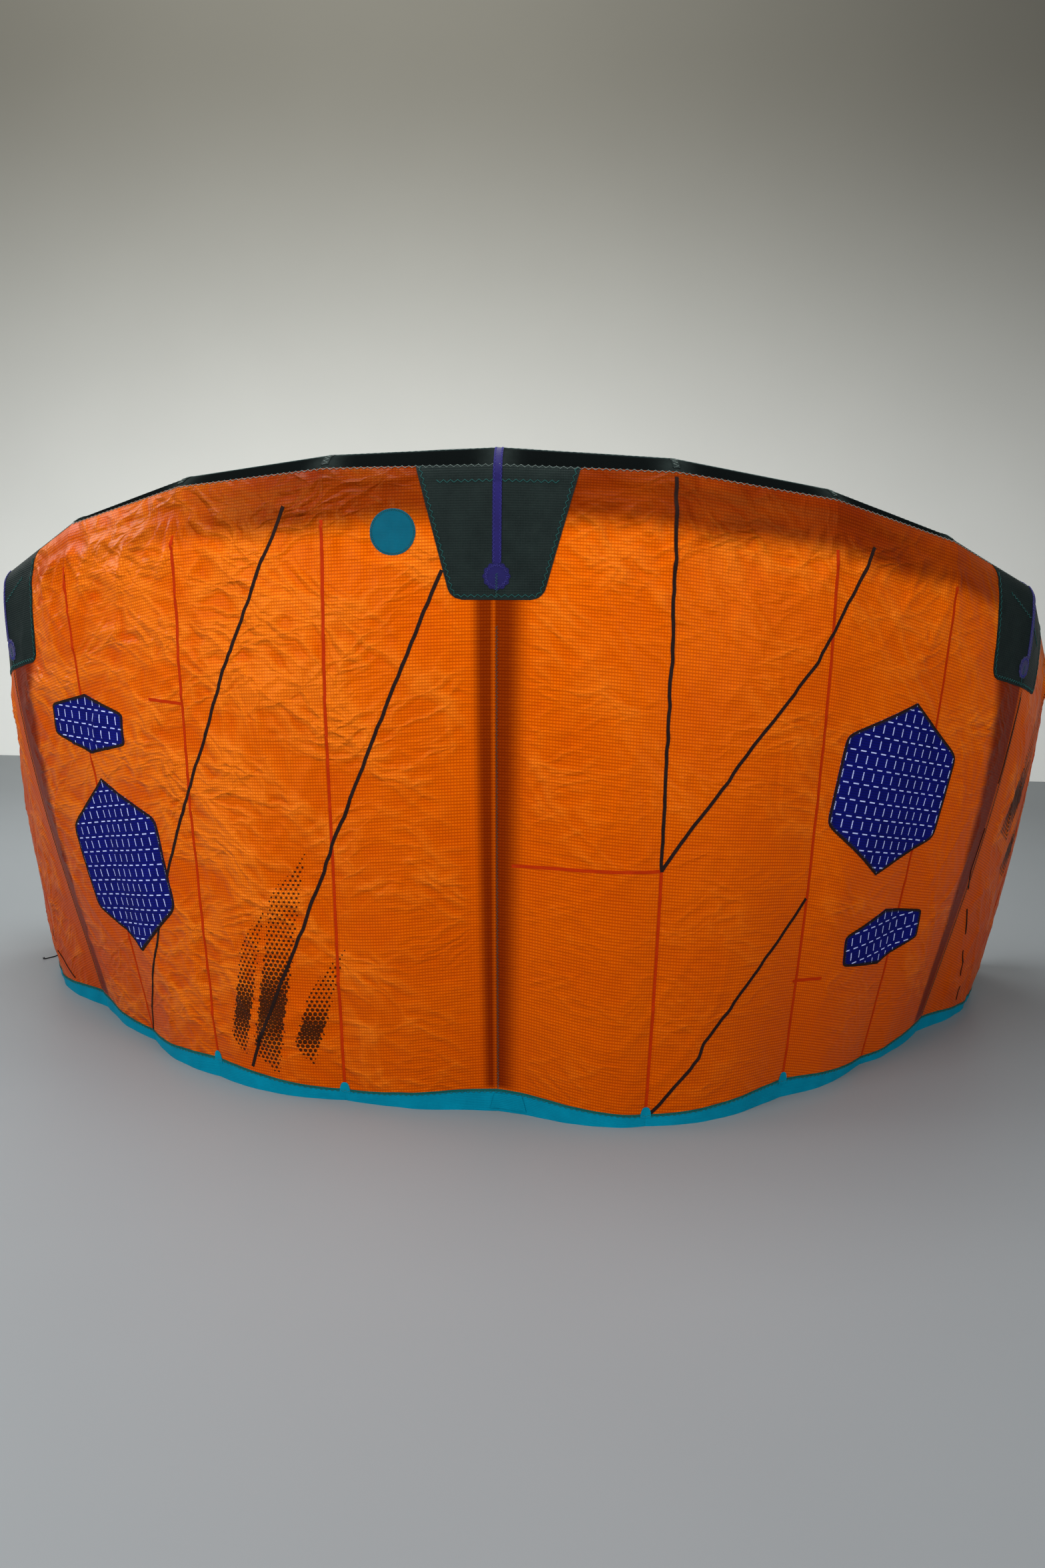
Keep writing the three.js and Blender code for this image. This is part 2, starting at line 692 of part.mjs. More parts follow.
// The part's origin is on the floor, under the middle of the kite's box.
const box = new THREE.Box3().setFromObject(kite);
const part = new THREE.Group();
part.add(kite, cords);
part.position.set(-(box.min.x + box.max.x) / 2, -(box.min.y + box.max.y) / 2, 0);
part.updateMatrixWorld(true);

const root = new THREE.Group();
root.add(part);

export default root;
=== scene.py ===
# A small kite for kitesurfing that stands on its trailing edge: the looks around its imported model.
# Tables and shapes are in millimetres, as in the part's source, and a mesh is made in metres.
import math

import bpy
import numpy as np
from mathutils import Matrix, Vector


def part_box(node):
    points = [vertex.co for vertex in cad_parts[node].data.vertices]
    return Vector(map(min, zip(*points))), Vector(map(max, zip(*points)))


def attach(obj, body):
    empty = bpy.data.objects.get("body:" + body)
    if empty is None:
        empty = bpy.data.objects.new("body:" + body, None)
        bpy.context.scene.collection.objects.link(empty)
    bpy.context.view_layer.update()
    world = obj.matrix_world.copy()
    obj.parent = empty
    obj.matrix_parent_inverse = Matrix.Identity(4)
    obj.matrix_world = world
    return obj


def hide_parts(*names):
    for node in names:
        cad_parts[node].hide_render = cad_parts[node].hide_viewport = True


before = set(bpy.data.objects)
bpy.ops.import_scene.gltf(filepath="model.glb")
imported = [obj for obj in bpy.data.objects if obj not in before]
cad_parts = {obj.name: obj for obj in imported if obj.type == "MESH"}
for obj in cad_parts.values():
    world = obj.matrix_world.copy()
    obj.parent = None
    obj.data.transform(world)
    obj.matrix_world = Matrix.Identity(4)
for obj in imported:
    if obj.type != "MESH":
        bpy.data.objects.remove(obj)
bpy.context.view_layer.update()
print("frame loaded:", len(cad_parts), "nodes")

metre = 0.001
origin = np.array([-1.967, -685.941, 0.0])  # from the tables' frame to the part's

# The camera, in metres of the part's frame: its heading's sideways share, pitch in degrees and roll.
eye = {
    "place": (0.1615, -3.391, 1.24), "aside": -0.0352, "pitchDown": 8.8, "roll": 0.0207,
    "lens": 26.5, "sensorWidth": 36,
}


def newObject(name, data, axes=None, place=None):
    # an object in the scene, turned to three axes and moved to a place where they are given
    item = bpy.data.objects.new(name, data)
    bpy.context.collection.objects.link(item)
    if axes is not None:
        matrix = np.eye(4)
        matrix[:3, :3] = axes
        matrix[:3, 3] = place
        item.matrix_world = Matrix(matrix.tolist())
    return item


def standCamera():
    # looks level along its heading, then down by the pitch, then rolls about its own line of sight
    pitch = math.radians(eye["pitchDown"])
    level = np.array([eye["aside"], math.sqrt(1 - eye["aside"] ** 2), 0.0])
    ahead = np.array([*(level[:2] * math.cos(pitch)), -math.sin(pitch)])
    right = np.array([level[1], -level[0], 0.0])
    up = np.cross(right, ahead)
    cosine, sine = math.cos(eye["roll"]), math.sin(eye["roll"])
    axes = np.stack([right * cosine + up * sine, up * cosine - right * sine, -ahead], 1)
    data = bpy.data.cameras.new("camera")
    data.lens, data.sensor_width, data.sensor_fit = eye["lens"], eye["sensorWidth"], "AUTO"
    bpy.context.scene.camera = newObject("camera", data, axes, eye["place"])


standCamera()

sharpAngle = math.radians(50)  # a turn of the surface that shows as an edge


def meshPiece(name, points, faces, plane, values=None):
    # points in millimetres of the tables' frame, faces as rows of corner numbers, the cloth's own
    # plane in metres, and named values at the points
    mesh = bpy.data.meshes.new(name)
    mesh.from_pydata(((points + origin) * metre).tolist(), [], faces)
    corners = np.zeros(len(mesh.loops), np.int32)
    mesh.loops.foreach_get("vertex_index", corners)
    mesh.uv_layers.new(name="cloth").data.foreach_set("uv", plane[corners].astype(np.float32).ravel())
    for label, value in (values or {}).items():
        channel = mesh.attributes.new(label, "FLOAT", "POINT").data
        channel.foreach_set("value", value.astype(np.float32).ravel())
    mesh.polygons.foreach_set("use_smooth", np.ones(len(mesh.polygons), bool))
    mesh.set_sharp_from_angle(angle=sharpAngle)
    return newObject(name, mesh)


def gridFaces(rows, columns, first=0, flip=False):
    # the quads of a grid of corners, numbered row by row
    a = (np.arange(rows - 1)[:, None] * columns + np.arange(columns - 1)).ravel() + first
    quads = np.stack([a, a + columns, a + columns + 1, a + 1], 1)
    return quads[:, ::-1] if flip else quads


def clothFaces(rows, columns):
    # a closed sheet: the outer grid, the inner grid turned over, and a rim round both
    layer = rows * columns
    c, r = np.arange(columns), np.arange(rows)
    left, bottom = r[:-1] * columns, (rows - 1) * columns + c[:-1]
    ring = np.concatenate([left, bottom, r[:0:-1] * columns + columns - 1, c[:0:-1]])
    after = np.roll(ring, -1)
    rim = np.stack([after, ring, ring + layer, after + layer], 1)
    return np.concatenate([gridFaces(rows, columns), gridFaces(rows, columns, layer, True), rim]).tolist()


def unit(v):
    # each direction divided by its own length
    return v / np.maximum(np.linalg.norm(v, axis=-1, keepdims=True), 1e-9)


def dot(a, b):
    # the sum of the products of two directions' parts
    return (a * b).sum(-1)


def ease(low, high, x):
    # 0 up to the low end, 1 from the high end on, three squares less two cubes in between
    t = np.clip((x - low) / (high - low), 0, 1)
    return t * t * (3 - 2 * t)


def wholeTurn(steps):
    # the angles of a whole turn in equal steps
    return np.arange(steps) * 2 * np.pi / steps


def circle(a, b, angle):
    # two square directions, one times the cosine and the other times the sine of each angle
    return a * np.cos(angle)[..., None] + b * np.sin(angle)[..., None]


def sideToSide(count, half):
    # half to one side and half to the other by turns
    return np.where(np.arange(count) % 2, half, -half)


def lengthAlong(route):
    # the way from a line's start to each of its points
    return np.concatenate([[0], np.cumsum(np.linalg.norm(np.diff(route, axis=0), axis=1))])


def clothPlane(u, v):
    # the cloth's own plane, in metres, from millimetres across and along
    return np.stack(np.broadcast_arrays(u, v), -1) * metre


def softNoise(x, y, seed):
    # smooth noise from 0 to 1: random values at whole numbers, eased in between
    values = np.random.default_rng(seed).random((64, 64))
    i, j = np.floor(x).astype(int), np.floor(y).astype(int)
    fx, fy = ease(0, 1, x - i), ease(0, 1, y - j)
    at = lambda a, b: values[(i + a) % 64, (j + b) % 64]
    return (at(0, 0) * (1 - fx) + at(1, 0) * fx) * (1 - fy) + (at(0, 1) * (1 - fx) + at(1, 1) * fx) * fy


def sweep(rings, plane, closed=False):
    # rings of corners joined one to the next; an open sweep is closed by a pole at each end
    count, sides = rings.shape[:2]
    total = count * sides
    a = (np.arange(count if closed else count - 1)[:, None] * sides + np.arange(sides)).ravel()
    b = a - a % sides + (a % sides + 1) % sides
    quads = np.stack([a, b, (b + sides) % total, (a + sides) % total], 1)
    points, plane = rings.reshape(-1, 3), plane.reshape(-1, 2)
    middle = points.mean(0)
    p, q, r, t = (points[quads[:, i]] - middle for i in range(4))
    inward = (dot(p, np.cross(q, r)) + dot(p, np.cross(r, t))).sum() < 0
    facingOut = lambda faces: (faces[:, ::-1] if inward else faces).tolist()
    if closed:
        return points, facingOut(quads), plane
    i = np.arange(sides)
    j, last = (i + 1) % sides, total - sides
    firstPole = np.stack([i * 0 + total, j, i], 1)
    lastPole = np.stack([i * 0 + total + 1, last + i, last + j], 1)
    faces = facingOut(quads) + facingOut(np.concatenate([firstPole, lastPole]))
    points = np.concatenate([points, [rings[0].mean(0), rings[-1].mean(0)]])
    return points, faces, np.concatenate([plane, plane[:1], plane[-1:]])


def joined(parts):
    # several parts as one mesh, their corners numbered on
    shift, faces = 0, []
    for points, part, _ in parts:
        faces += [[corner + shift for corner in face] for face in part]
        shift += len(points)
    return np.concatenate([part[0] for part in parts]), faces, np.concatenate([part[2] for part in parts])


# A row for each seam: x, y and z of the tube's centre, its radius, the angle at which the canopy
# is sewn on, the belly below it, x and y of the foot and the height of the hem band.
kiteSeams = np.array([
    [-1612, 1432, 600, 40, 48, 44, -1535, 1330, 32],
    [-1601, 1186, 881, 47, 48, 36, -1536, 1190, 34],
    [-1507, 926, 1112, 55, 48, 34, -1442, 865, 32],
    [-1392, 626, 1258, 66, 46, 39, -1204, 633, 56],
    [-1088, 357, 1375, 74, 44, 37, -971, 379, 34],
    [-748, 169, 1452, 82, 40, 31, -712, 146, 56],
    [-386, 67, 1491, 86, 35, 30, -361, 28, 30],
    [0, 32, 1512, 84, 27, 38, 25, 0, 60],
    [387, 65, 1496, 86, 35, 31, 383, -58, 30],
    [761, 171, 1449, 82, 40, 33, 743, 140, 52],
    [1099, 358, 1371, 74, 44, 32, 1007, 377, 24],
    [1400, 624, 1272, 67, 46, 40, 1239, 650, 50],
    [1571, 922, 1120, 56, 48, 34, 1470, 915, 26],
    [1589, 1187, 882, 46, 48, 36, 1556, 1215, 34],
    [1612, 1432, 600, 40, 48, 44, 1556, 1350, 32],
], float)
lastSeam, middleSeam, strutSeams = 14, 7, (3, 7, 11)
turnSeams = [k for k in range(1, lastSeam) if k not in strutSeams]
baySpan = 390  # a usual bay's width, for what runs across the cloth
tubeCentre, tubeRadius, sewnAt, belly = kiteSeams[:, :3], kiteSeams[:, 3], kiteSeams[:, 4], kiteSeams[:, 5]
foot = np.column_stack([kiteSeams[:, 6:8], np.zeros(lastSeam + 1)])
bandStart = 1 - kiteSeams[:, 8] / kiteSeams[:, 2]
ends = np.arange(lastSeam + 1)
along = unit(tubeCentre[np.minimum(ends + 1, lastSeam)] - tubeCentre[np.maximum(ends - 1, 0)])
out = unit(np.column_stack([along[:, 1], -along[:, 0], np.zeros(lastSeam + 1)]))
rise = unit(np.cross(out, along))

# Large soft folds, as in the part's source: seam, drift, from, to, half width and rise of each.
softFolds = np.array([
    [-5.45, 0.1, 0.1, 0.95, 0.3, 9], [-4.55, 0.2, 0.15, 1, 0.3, -9], [-3.72, 0.1, 0.2, 0.9, 0.3, 7],
    [-2.9, -0.5, 0.05, 0.45, 0.3, 6], [-1.35, 0.3, 0.35, 0.8, 0.35, -6], [0.6, 0.25, 0.35, 1, 0.4, 9],
    [2.45, -0.4, 0.1, 0.6, 0.3, -6], [3.6, -0.2, 0.15, 0.95, 0.3, 8], [4.5, 0.15, 0.1, 0.95, 0.3, -9],
    [5.5, 0, 0.15, 0.9, 0.3, 8],
])
# How far down the sheet: -120 to 0 round the tube from its top to its front, 0 to 1500 from
# there to the hem band, and 1500 to 1545 down the band to the floor.
tubeTop, canopyEdge, canopyFoot, floorLine = -120, -60, 1500, 1545
downMarks, rowMarks = [tubeTop, 0, canopyFoot, floorLine], [-2, 0, 1, 2]
clothEdge = canopyEdge + 0.2  # where the canopy's cloth starts on the tube
wayMarks = [0.05, 0.12, 0.21, 0.32, 0.44, 0.57, 0.7, 0.82, 0.92]  # shares of the way to the hem band
cadRows = np.array([tubeTop, -100, -80, canopyEdge, -30, 0, *(canopyFoot * np.array([*wayMarks, 1]))])
bayBow = 0.045
# Each size of crinkle has its own rise and seed; a lean turns its ridges to one side.
crinkle = {
    "sizes": [(130, 5.0, 5), (70, 2.4, 6), (44, 0.9, 7)], "leans": (0.55, -0.7), "long": 3.6, "gather": 5,
}


def onSeam(k, down):
    # on a seam: round the tube above its front, then straight down to the floor and out by the belly
    row = np.interp(down, downMarks, rowMarks)
    level = np.clip(-row, 0, 2)
    angle = np.radians(np.where(level < 1, sewnAt[k] * level, sewnAt[k] + (90 - sewnAt[k]) * (level - 1)))
    way = np.where(row < 1, np.clip(row, 0, 1) * bandStart[k], bandStart[k] + (1 - bandStart[k]) * (row - 1))
    way = np.clip(way, 0, 1)
    swell = tubeRadius[k] * (1 - way) + belly[k] * 4 * way**0.8 * (1 - way) ** 1.2
    straight = tubeCentre[k] + (foot[k] - tubeCentre[k]) * way[..., None] + out[k] * swell[..., None]
    curved = tubeCentre[k] + tubeRadius[k, None] * circle(out[k], rise[k], angle)
    return np.where((row < 0)[..., None], curved, straight)


def realDrop(place, down):
    # down in true millimetres, because the tips' seams are shorter
    return down * np.interp(place, ends, np.linalg.norm(tubeCentre - foot, axis=1)) / canopyFoot


def creases(place, down):
    # small crinkles in the hung cloth: ridges of warped noise in three sizes, most on the left,
    # in the creased strip below the tube and at the tips, none where a strut or the band holds it
    x, y = place * baySpan, realDrop(place, down)
    warpX = softNoise(x / 210, y / 260, 3) * 70
    warpY = softNoise(x / 230, y / 190, 4) * 70
    height = np.zeros(np.shape(place))
    for size, high, seed in crinkle["sizes"]:
        for lean in crinkle["leans"]:
            acrossRidge = (x + warpX + lean * y) / size
            alongRidge = (y + warpY - lean * x) / size / crinkle["long"]
            ridge = 1 - np.abs(2 * softNoise(acrossRidge, alongRidge, seed + int(20 + 9 * lean)) - 1)
            height += 0.6 * high * ridge**7
    # gathers that fan out below each turn of the tube
    for seam in turnSeams:
        aside, below = x - seam * baySpan, y + 25
        far = np.hypot(aside, below)
        fan = 0.5 + 0.5 * np.cos(15 * np.arctan2(aside, below) + 1.7 * seam)
        height += crinkle["gather"] * fan**2 * np.exp(-far / 150) * ease(15, 90, far)
    # slow waves above the hem band
    wave = 7 * (softNoise(place * 4.3, down / 900, 31) - 0.5)
    wave = wave + 3 * (softNoise(place * 11, down / 600, 32) - 0.5)
    return height * creaseStrength(place, down) + wave * ease(1240, 1480, down)


stiffPlaces = np.array([  # seam, share of the way down, half width and half height of each sewn-on piece
    [-2.84, 0.60, 225, 250], [-2.97, 0.27, 180, 95], [2.69, 0.38, 230, 235], [2.84, 0.69, 180, 95],
    [-0.59, 0.07, 60, 60], [-4, 0.06, 225, 230], [0, 0.06, 190, 240], [4, 0.06, 225, 230],
])


def creaseStrength(place, down):
    # more to the left, at the right tip and under the tube, less at its edges, at the struts and
    # where a piece is sewn on, in uneven patches
    sides = 0.65 + 0.75 * ease(7.2, 4.4, place) + 0.35 * ease(9.3, 11.5, place)
    under = 1 + 0.9 * ease(300, 60, down)
    held = ease(0, 45, down) * ease(1490, 1400, down)
    atStruts = np.ones(np.shape(place))
    for seam in strutSeams:
        atStruts = atStruts * (0.12 + 0.88 * ease(0.1, 0.3, np.abs(place - seam)))
    patchy = 0.45 + 1.1 * softNoise(place * 1.7, down / 330, 8)
    stiff = np.ones(np.shape(place))
    for seam, share, halfWidth, halfHeight in stiffPlaces:
        aside = np.abs(place - middleSeam - seam) * baySpan / halfWidth
        off = np.maximum(aside, np.abs(down - share * canopyFoot) / halfHeight)
        stiff = stiff * (0.22 + 0.78 * ease(0.85, 1.2, off))
    return sides * under * held * atStruts * patchy * stiff


def sheetPoint(place, down):
    # straight from seam to seam on the tube, and rounded by a curve through four seams further
    # down, where it also bows out between seams and has its folds and crinkles
    k = np.clip(np.floor(place).astype(int), 0, lastSeam - 1)
    share = (place - k)[..., None]
    first, second = onSeam(k, down), onSeam(k + 1, down)
    before = np.where((k > 0)[..., None], onSeam(np.maximum(k - 1, 0), down), 2 * first - second)
    beyond = onSeam(np.minimum(k + 2, lastSeam), down)
    after = np.where((k + 2 <= lastSeam)[..., None], beyond, 2 * second - first)
    straight = first + (second - first) * share
    blend, leave, arrive = 2 * share**3 - 3 * share**2, share**3 - 2 * share**2 + share, share**3 - share**2
    curved = (1 + blend) * first - blend * second
    curved = curved + leave * (second - before) / 2 + arrive * (after - first) / 2
    reach = np.clip(down / canopyFoot, 0, 1)
    outward = unit(out[k] + (out[k + 1] - out[k]) * share)
    bow = bayBow * np.linalg.norm(foot[k] - foot[k + 1], axis=-1) * np.sin(np.pi * share[..., 0]) * reach
    for seam, drift, start, stop, width, height in softFolds:
        t = np.clip((reach - start) / (stop - start), 0, 1)
        aside = (place - middleSeam - seam - drift * t) / width
        bow = bow + height * np.sin(np.pi * t) * np.exp(-(aside**2))
    bow = bow + creases(place, down)
    return straight + (curved - straight) * ease(0, 0.35, reach)[..., None] + outward * bow[..., None]


def slopes(place, down):
    # the sheet's directions across, in millimetres for one seam, and down
    stepAcross, stepDown = 0.012, 4
    left, right = np.maximum(place - stepAcross, 0), np.minimum(place + stepAcross, lastSeam)
    above, below = np.maximum(down - stepDown, tubeTop), np.minimum(down + stepDown, floorLine)
    across = (sheetPoint(right, down) - sheetPoint(left, down)) / (right - left)[..., None]
    fall = (sheetPoint(place, below) - sheetPoint(place, above)) / (below - above)[..., None]
    return across, fall


def onSheet(place, down, lift=0.0):
    # the point at a lift off the sheet's inner face, and the outward direction there
    place, down = np.broadcast_arrays(np.asarray(place, float), np.asarray(down, float))
    across, fall = slopes(place, down)
    normal = np.cross(fall, across)
    normal[..., 2] = np.where(down >= floorLine, 0, normal[..., 2])
    normal = unit(normal)
    return sheetPoint(place, down) + normal * np.broadcast_to(lift, place.shape)[..., None], normal


def moveOnSheet(place, down, direction):
    # the place reached from another one by a short way in space, found from the two slopes
    across, fall = slopes(place, down)
    a, b, c = dot(across, across), dot(across, fall), dot(fall, fall)
    p, q = dot(across, direction), dot(fall, direction)
    det = a * c - b * b
    lower = np.clip(down + (a * q - b * p) / det, tubeTop, floorLine)
    return np.clip(place + (c * p - b * q) / det, 0, lastSeam), lower


def frameOnSheet(seam, row, height=None, turn=0):
    # a flat frame on the sheet: x to the right and y up the sheet, its middle slid along y to a
    # height above the floor
    place = np.float64(seam + middleSeam)
    p, n = onSheet(place, cadRows[row])
    y = unit(sheetPoint(place, cadRows[max(row - 3, 3)]) - sheetPoint(place, cadRows[min(row + 3, 15)]))
    x = unit(np.cross(y, n))
    middle = p if height is None else p + y * (height - p[2]) / y[2]
    cosine, sine = math.cos(math.radians(turn)), math.sin(math.radians(turn))
    turned = {"x": x * cosine + y * sine, "y": y * cosine - x * sine}
    return {"middle": middle, "place": place, "down": cadRows[row], **turned}


def frameAt(seam, height, turn=0):
    # the flat frame from the row of the sheet that is nearest to a height
    heights = [sheetPoint(np.float64(seam + middleSeam), down)[2] for down in cadRows]
    row = 3 + int(np.argmin(np.abs(np.array(heights[3:]) - height)))
    return frameOnSheet(seam, row, height, turn)


newton = {"rounds": 9, "mostAcross": 0.4, "mostDown": 150}


def placesInFrame(flat, x, y, top=clothEdge):
    # where the sheet lies right behind the points x, y of a flat frame: Newton's steps on two slopes
    x, y = np.broadcast_arrays(np.asarray(x, float), np.asarray(y, float))
    place, down = np.full(x.shape, flat["place"]), np.full(x.shape, float(flat["down"]))
    mostAcross, mostDown = newton["mostAcross"], newton["mostDown"]
    for _ in range(newton["rounds"]):
        across, fall = slopes(place, down)
        away = sheetPoint(place, down) - flat["middle"]
        missX, missY = x - dot(away, flat["x"]), y - dot(away, flat["y"])
        a, b = dot(across, flat["x"]), dot(fall, flat["x"])
        c, d = dot(across, flat["y"]), dot(fall, flat["y"])
        det = a * d - b * c
        det = np.where(np.abs(det) < 1e-6, 1e-6, det)
        place = np.clip(place + np.clip((d * missX - b * missY) / det, -mostAcross, mostAcross), 0, lastSeam)
        down = np.clip(down + np.clip((a * missY - c * missX) / det, -mostDown, mostDown), top, floorLine)
    return place, down


def clothPiece(name, place, down, inner, outer, plane=None, values=None):
    # a closed piece of cloth over a grid of places, between two lifts off the sheet
    high, normal = onSheet(place, down, outer)
    thickness = np.broadcast_to(inner, place.shape) - np.broadcast_to(outer, place.shape)
    low = high + normal * thickness[..., None]
    points = np.concatenate([high.reshape(-1, 3), low.reshape(-1, 3)])
    plane = clothPlane(place * baySpan, -realDrop(place, down)) if plane is None else plane
    twice = lambda grid, width: np.concatenate([np.reshape(grid, (-1, width))] * 2)
    values = {label: twice(value, 1) for label, value in (values or {}).items()}
    return meshPiece(name, points, clothFaces(*place.shape), twice(plane, 2), values)


def settle(piece, slot, finish, *replaced):
    # gives a piece its finish, hangs it from the root and hides the nodes that it stands for; its slot is not
    # used
    piece.data.materials.append(finishes[finish])
    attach(piece, "root")
    if replaced:
        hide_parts(*replaced)
    return piece


def trim(name, parts, slot, finish):
    # several strips or threads as one piece
    return settle(meshPiece(name, *joined(parts)), slot, finish)


def put(tree, kind, inputs, output=0, **settings):
    # a node with its settings, and one of its outputs; an input is a value, or another node's output
    node = tree.nodes.new("ShaderNode" + kind)
    for key, value in settings.items():
        setattr(node, key, value)
    for key, value in inputs.items():
        if isinstance(value, bpy.types.NodeSocket):
            tree.links.new(value, node.inputs[key])
        else:
            node.inputs[key].default_value = value
    return node.outputs[output]


def calc(tree, operation, a, b=0.0, c=0.0):
    # a calculation with up to three values
    return put(tree, "Math", {0: a, 1: b, 2: c}, operation=operation)


def mixColour(tree, share, a, b, how="MIX"):
    # the first colour, and a share of the second over it
    return put(tree, "Mix", {0: share, 6: a, 7: b}, 2, data_type="RGBA", blend_type=how)


def ramp(tree, value, low, high, atLow, atHigh, **settings):
    # straight from one result to the other while the value goes from its low to its high end
    return put(tree, "MapRange", {0: value, 1: low, 2: high, 3: atLow, 4: atHigh}, **settings)


def noise(tree, where, scale, detail=2.0, roughness=0.5, output=0):
    # smooth noise from 0 to 1; output 1 is a colour
    inputs = {"Vector": where, "Scale": scale, "Detail": detail, "Roughness": roughness}
    return put(tree, "TexNoise", inputs, output)


def attribute(tree, name):
    # a value that a mesh has at its points
    return put(tree, "Attribute", {}, "Fac", attribute_name=name)


def surfacePlane(tree):
    # the cloth's own plane, and its two directions
    plane = put(tree, "UVMap", {}, uv_map="cloth")
    return plane, put(tree, "SeparateXYZ", {0: plane}, 0), put(tree, "SeparateXYZ", {0: plane}, 1)


def thinLines(tree, across, pitch, width):
    # 1 on thin lines a pitch apart, fading out within their width
    near = calc(tree, "PINGPONG", calc(tree, "DIVIDE", across, pitch), 0.5)
    return ramp(tree, near, 0.5 * width / pitch, 1.2 * width / pitch, 1.0, 0.0)


def inCell(tree, across, pitch, shift=0.0):
    # how far from the middle of its own cell, from -0.5 to 0.5
    cells = calc(tree, "ADD", calc(tree, "DIVIDE", across, pitch), shift)
    return calc(tree, "SUBTRACT", calc(tree, "FRACT", cells), 0.5)


def colour(red, green, blue):
    # a screen colour, 0 to 255, as a linear one
    part = lambda v: (v / 255 / 12.92) if v < 10.3 else ((v / 255 + 0.055) / 1.055) ** 2.4
    return (part(red), part(green), part(blue), 1)


def newFinish(name, roughness, sheen=0.0, specular=0.04):
    # a finish, its node tree and its shader
    finish = bpy.data.materials.new(name)
    finish.use_nodes = True
    tree = finish.node_tree
    shader = tree.nodes["Principled BSDF"]
    shader.inputs["Roughness"].default_value = roughness
    shader.inputs["Sheen Weight"].default_value = sheen
    shader.inputs["Specular IOR Level"].default_value = specular
    return finish, tree, shader


def paint(tree, shader, base, height, strength, distance):
    # a colour, and a relief of its own strength and depth
    tree.links.new(base, shader.inputs["Base Color"])
    relief = put(tree, "Bump", {"Height": height, "Strength": strength, "Distance": distance})
    tree.links.new(relief, shader.inputs["Normal"])


def seeThrough(tree, shader, tint, share):
    # lets some light through a thin cloth
    glow = put(tree, "BsdfTranslucent", {"Color": tint})
    both = put(tree, "MixShader", {0: share, 1: shader.outputs[0], 2: glow})
    tree.links.new(both, tree.nodes["Material Output"].inputs[0])


# the low and shade colours, and the creases' darker and lighter tones, are painted shade and a painted
# highlight
ripstop = {
    "bright": colour(250, 124, 2), "deep": colour(218, 80, 0), "low": colour(176, 62, 0),
    "shade": colour(104, 14, 0), "creaseHighlight": colour(255, 150, 36), "creaseShade": colour(216, 66, 0),
    "gloss": colour(255, 190, 90), "print": colour(24, 16, 12), "thread": (0.5, 0.24, 0.12, 1),
    "grid": 0.0078, "dotPitch": 0.013, "through": 0.25,
    # turn, width, length and depth of each set of creases
    "creases": [
        (74, 0.036, 0.1, 0.26), (47, 0.045, 0.16, 0.3), (-68, 0.036, 0.1, 0.24), (12, 0.05, 0.2, 0.14),
    ],
}


def crispCreases(tree, plane):
    # the sides of long cells turned four ways, each set in patches of its own
    drift = noise(tree, plane, 9.0, 3.0, output=1)
    drift = put(tree, "VectorMath", {0: drift, "Scale": 0.07}, operation="SCALE")
    warped = put(tree, "VectorMath", {0: plane, 1: drift}, operation="ADD")
    creased = 0.0
    for turn, across, length, share in ripstop["creases"]:
        turned = {0: warped, 2: (0, 0, math.radians(turn)), 3: (across, length, 1)}
        where = put(tree, "Mapping", turned, vector_type="TEXTURE")
        edge = put(tree, "TexVoronoi", {"Vector": where, "Scale": 1.0}, feature="DISTANCE_TO_EDGE")
        sharp = ramp(tree, edge, 0.0, 0.28, 1.0, 0.0)
        patch = ramp(tree, noise(tree, where, 0.3, 1.0), 0.45, 0.62, 0.02, share)
        creased = calc(tree, "MULTIPLY_ADD", sharp, patch, creased)
    return calc(tree, "MULTIPLY", creased, attribute(tree, "crinkle"))


def blackDots(tree, u, v):
    # dots as large as the print asks for; two square sets of them make a six-sided one
    pitch, tall, reach = ripstop["dotPitch"], 1.732, []
    for shift in (0.0, 0.5):
        x = inCell(tree, u, pitch, shift)
        y = calc(tree, "MULTIPLY", inCell(tree, v, pitch * tall, shift), tall)
        squares = calc(tree, "ADD", calc(tree, "MULTIPLY", x, x), calc(tree, "MULTIPLY", y, y))
        reach.append(calc(tree, "SQRT", squares))
    size = calc(tree, "MULTIPLY", attribute(tree, "dots"), 0.56)
    inside = calc(tree, "SUBTRACT", size, calc(tree, "MINIMUM", *reach))
    return ramp(tree, inside, -0.03, 0.03, 0.0, 0.93)


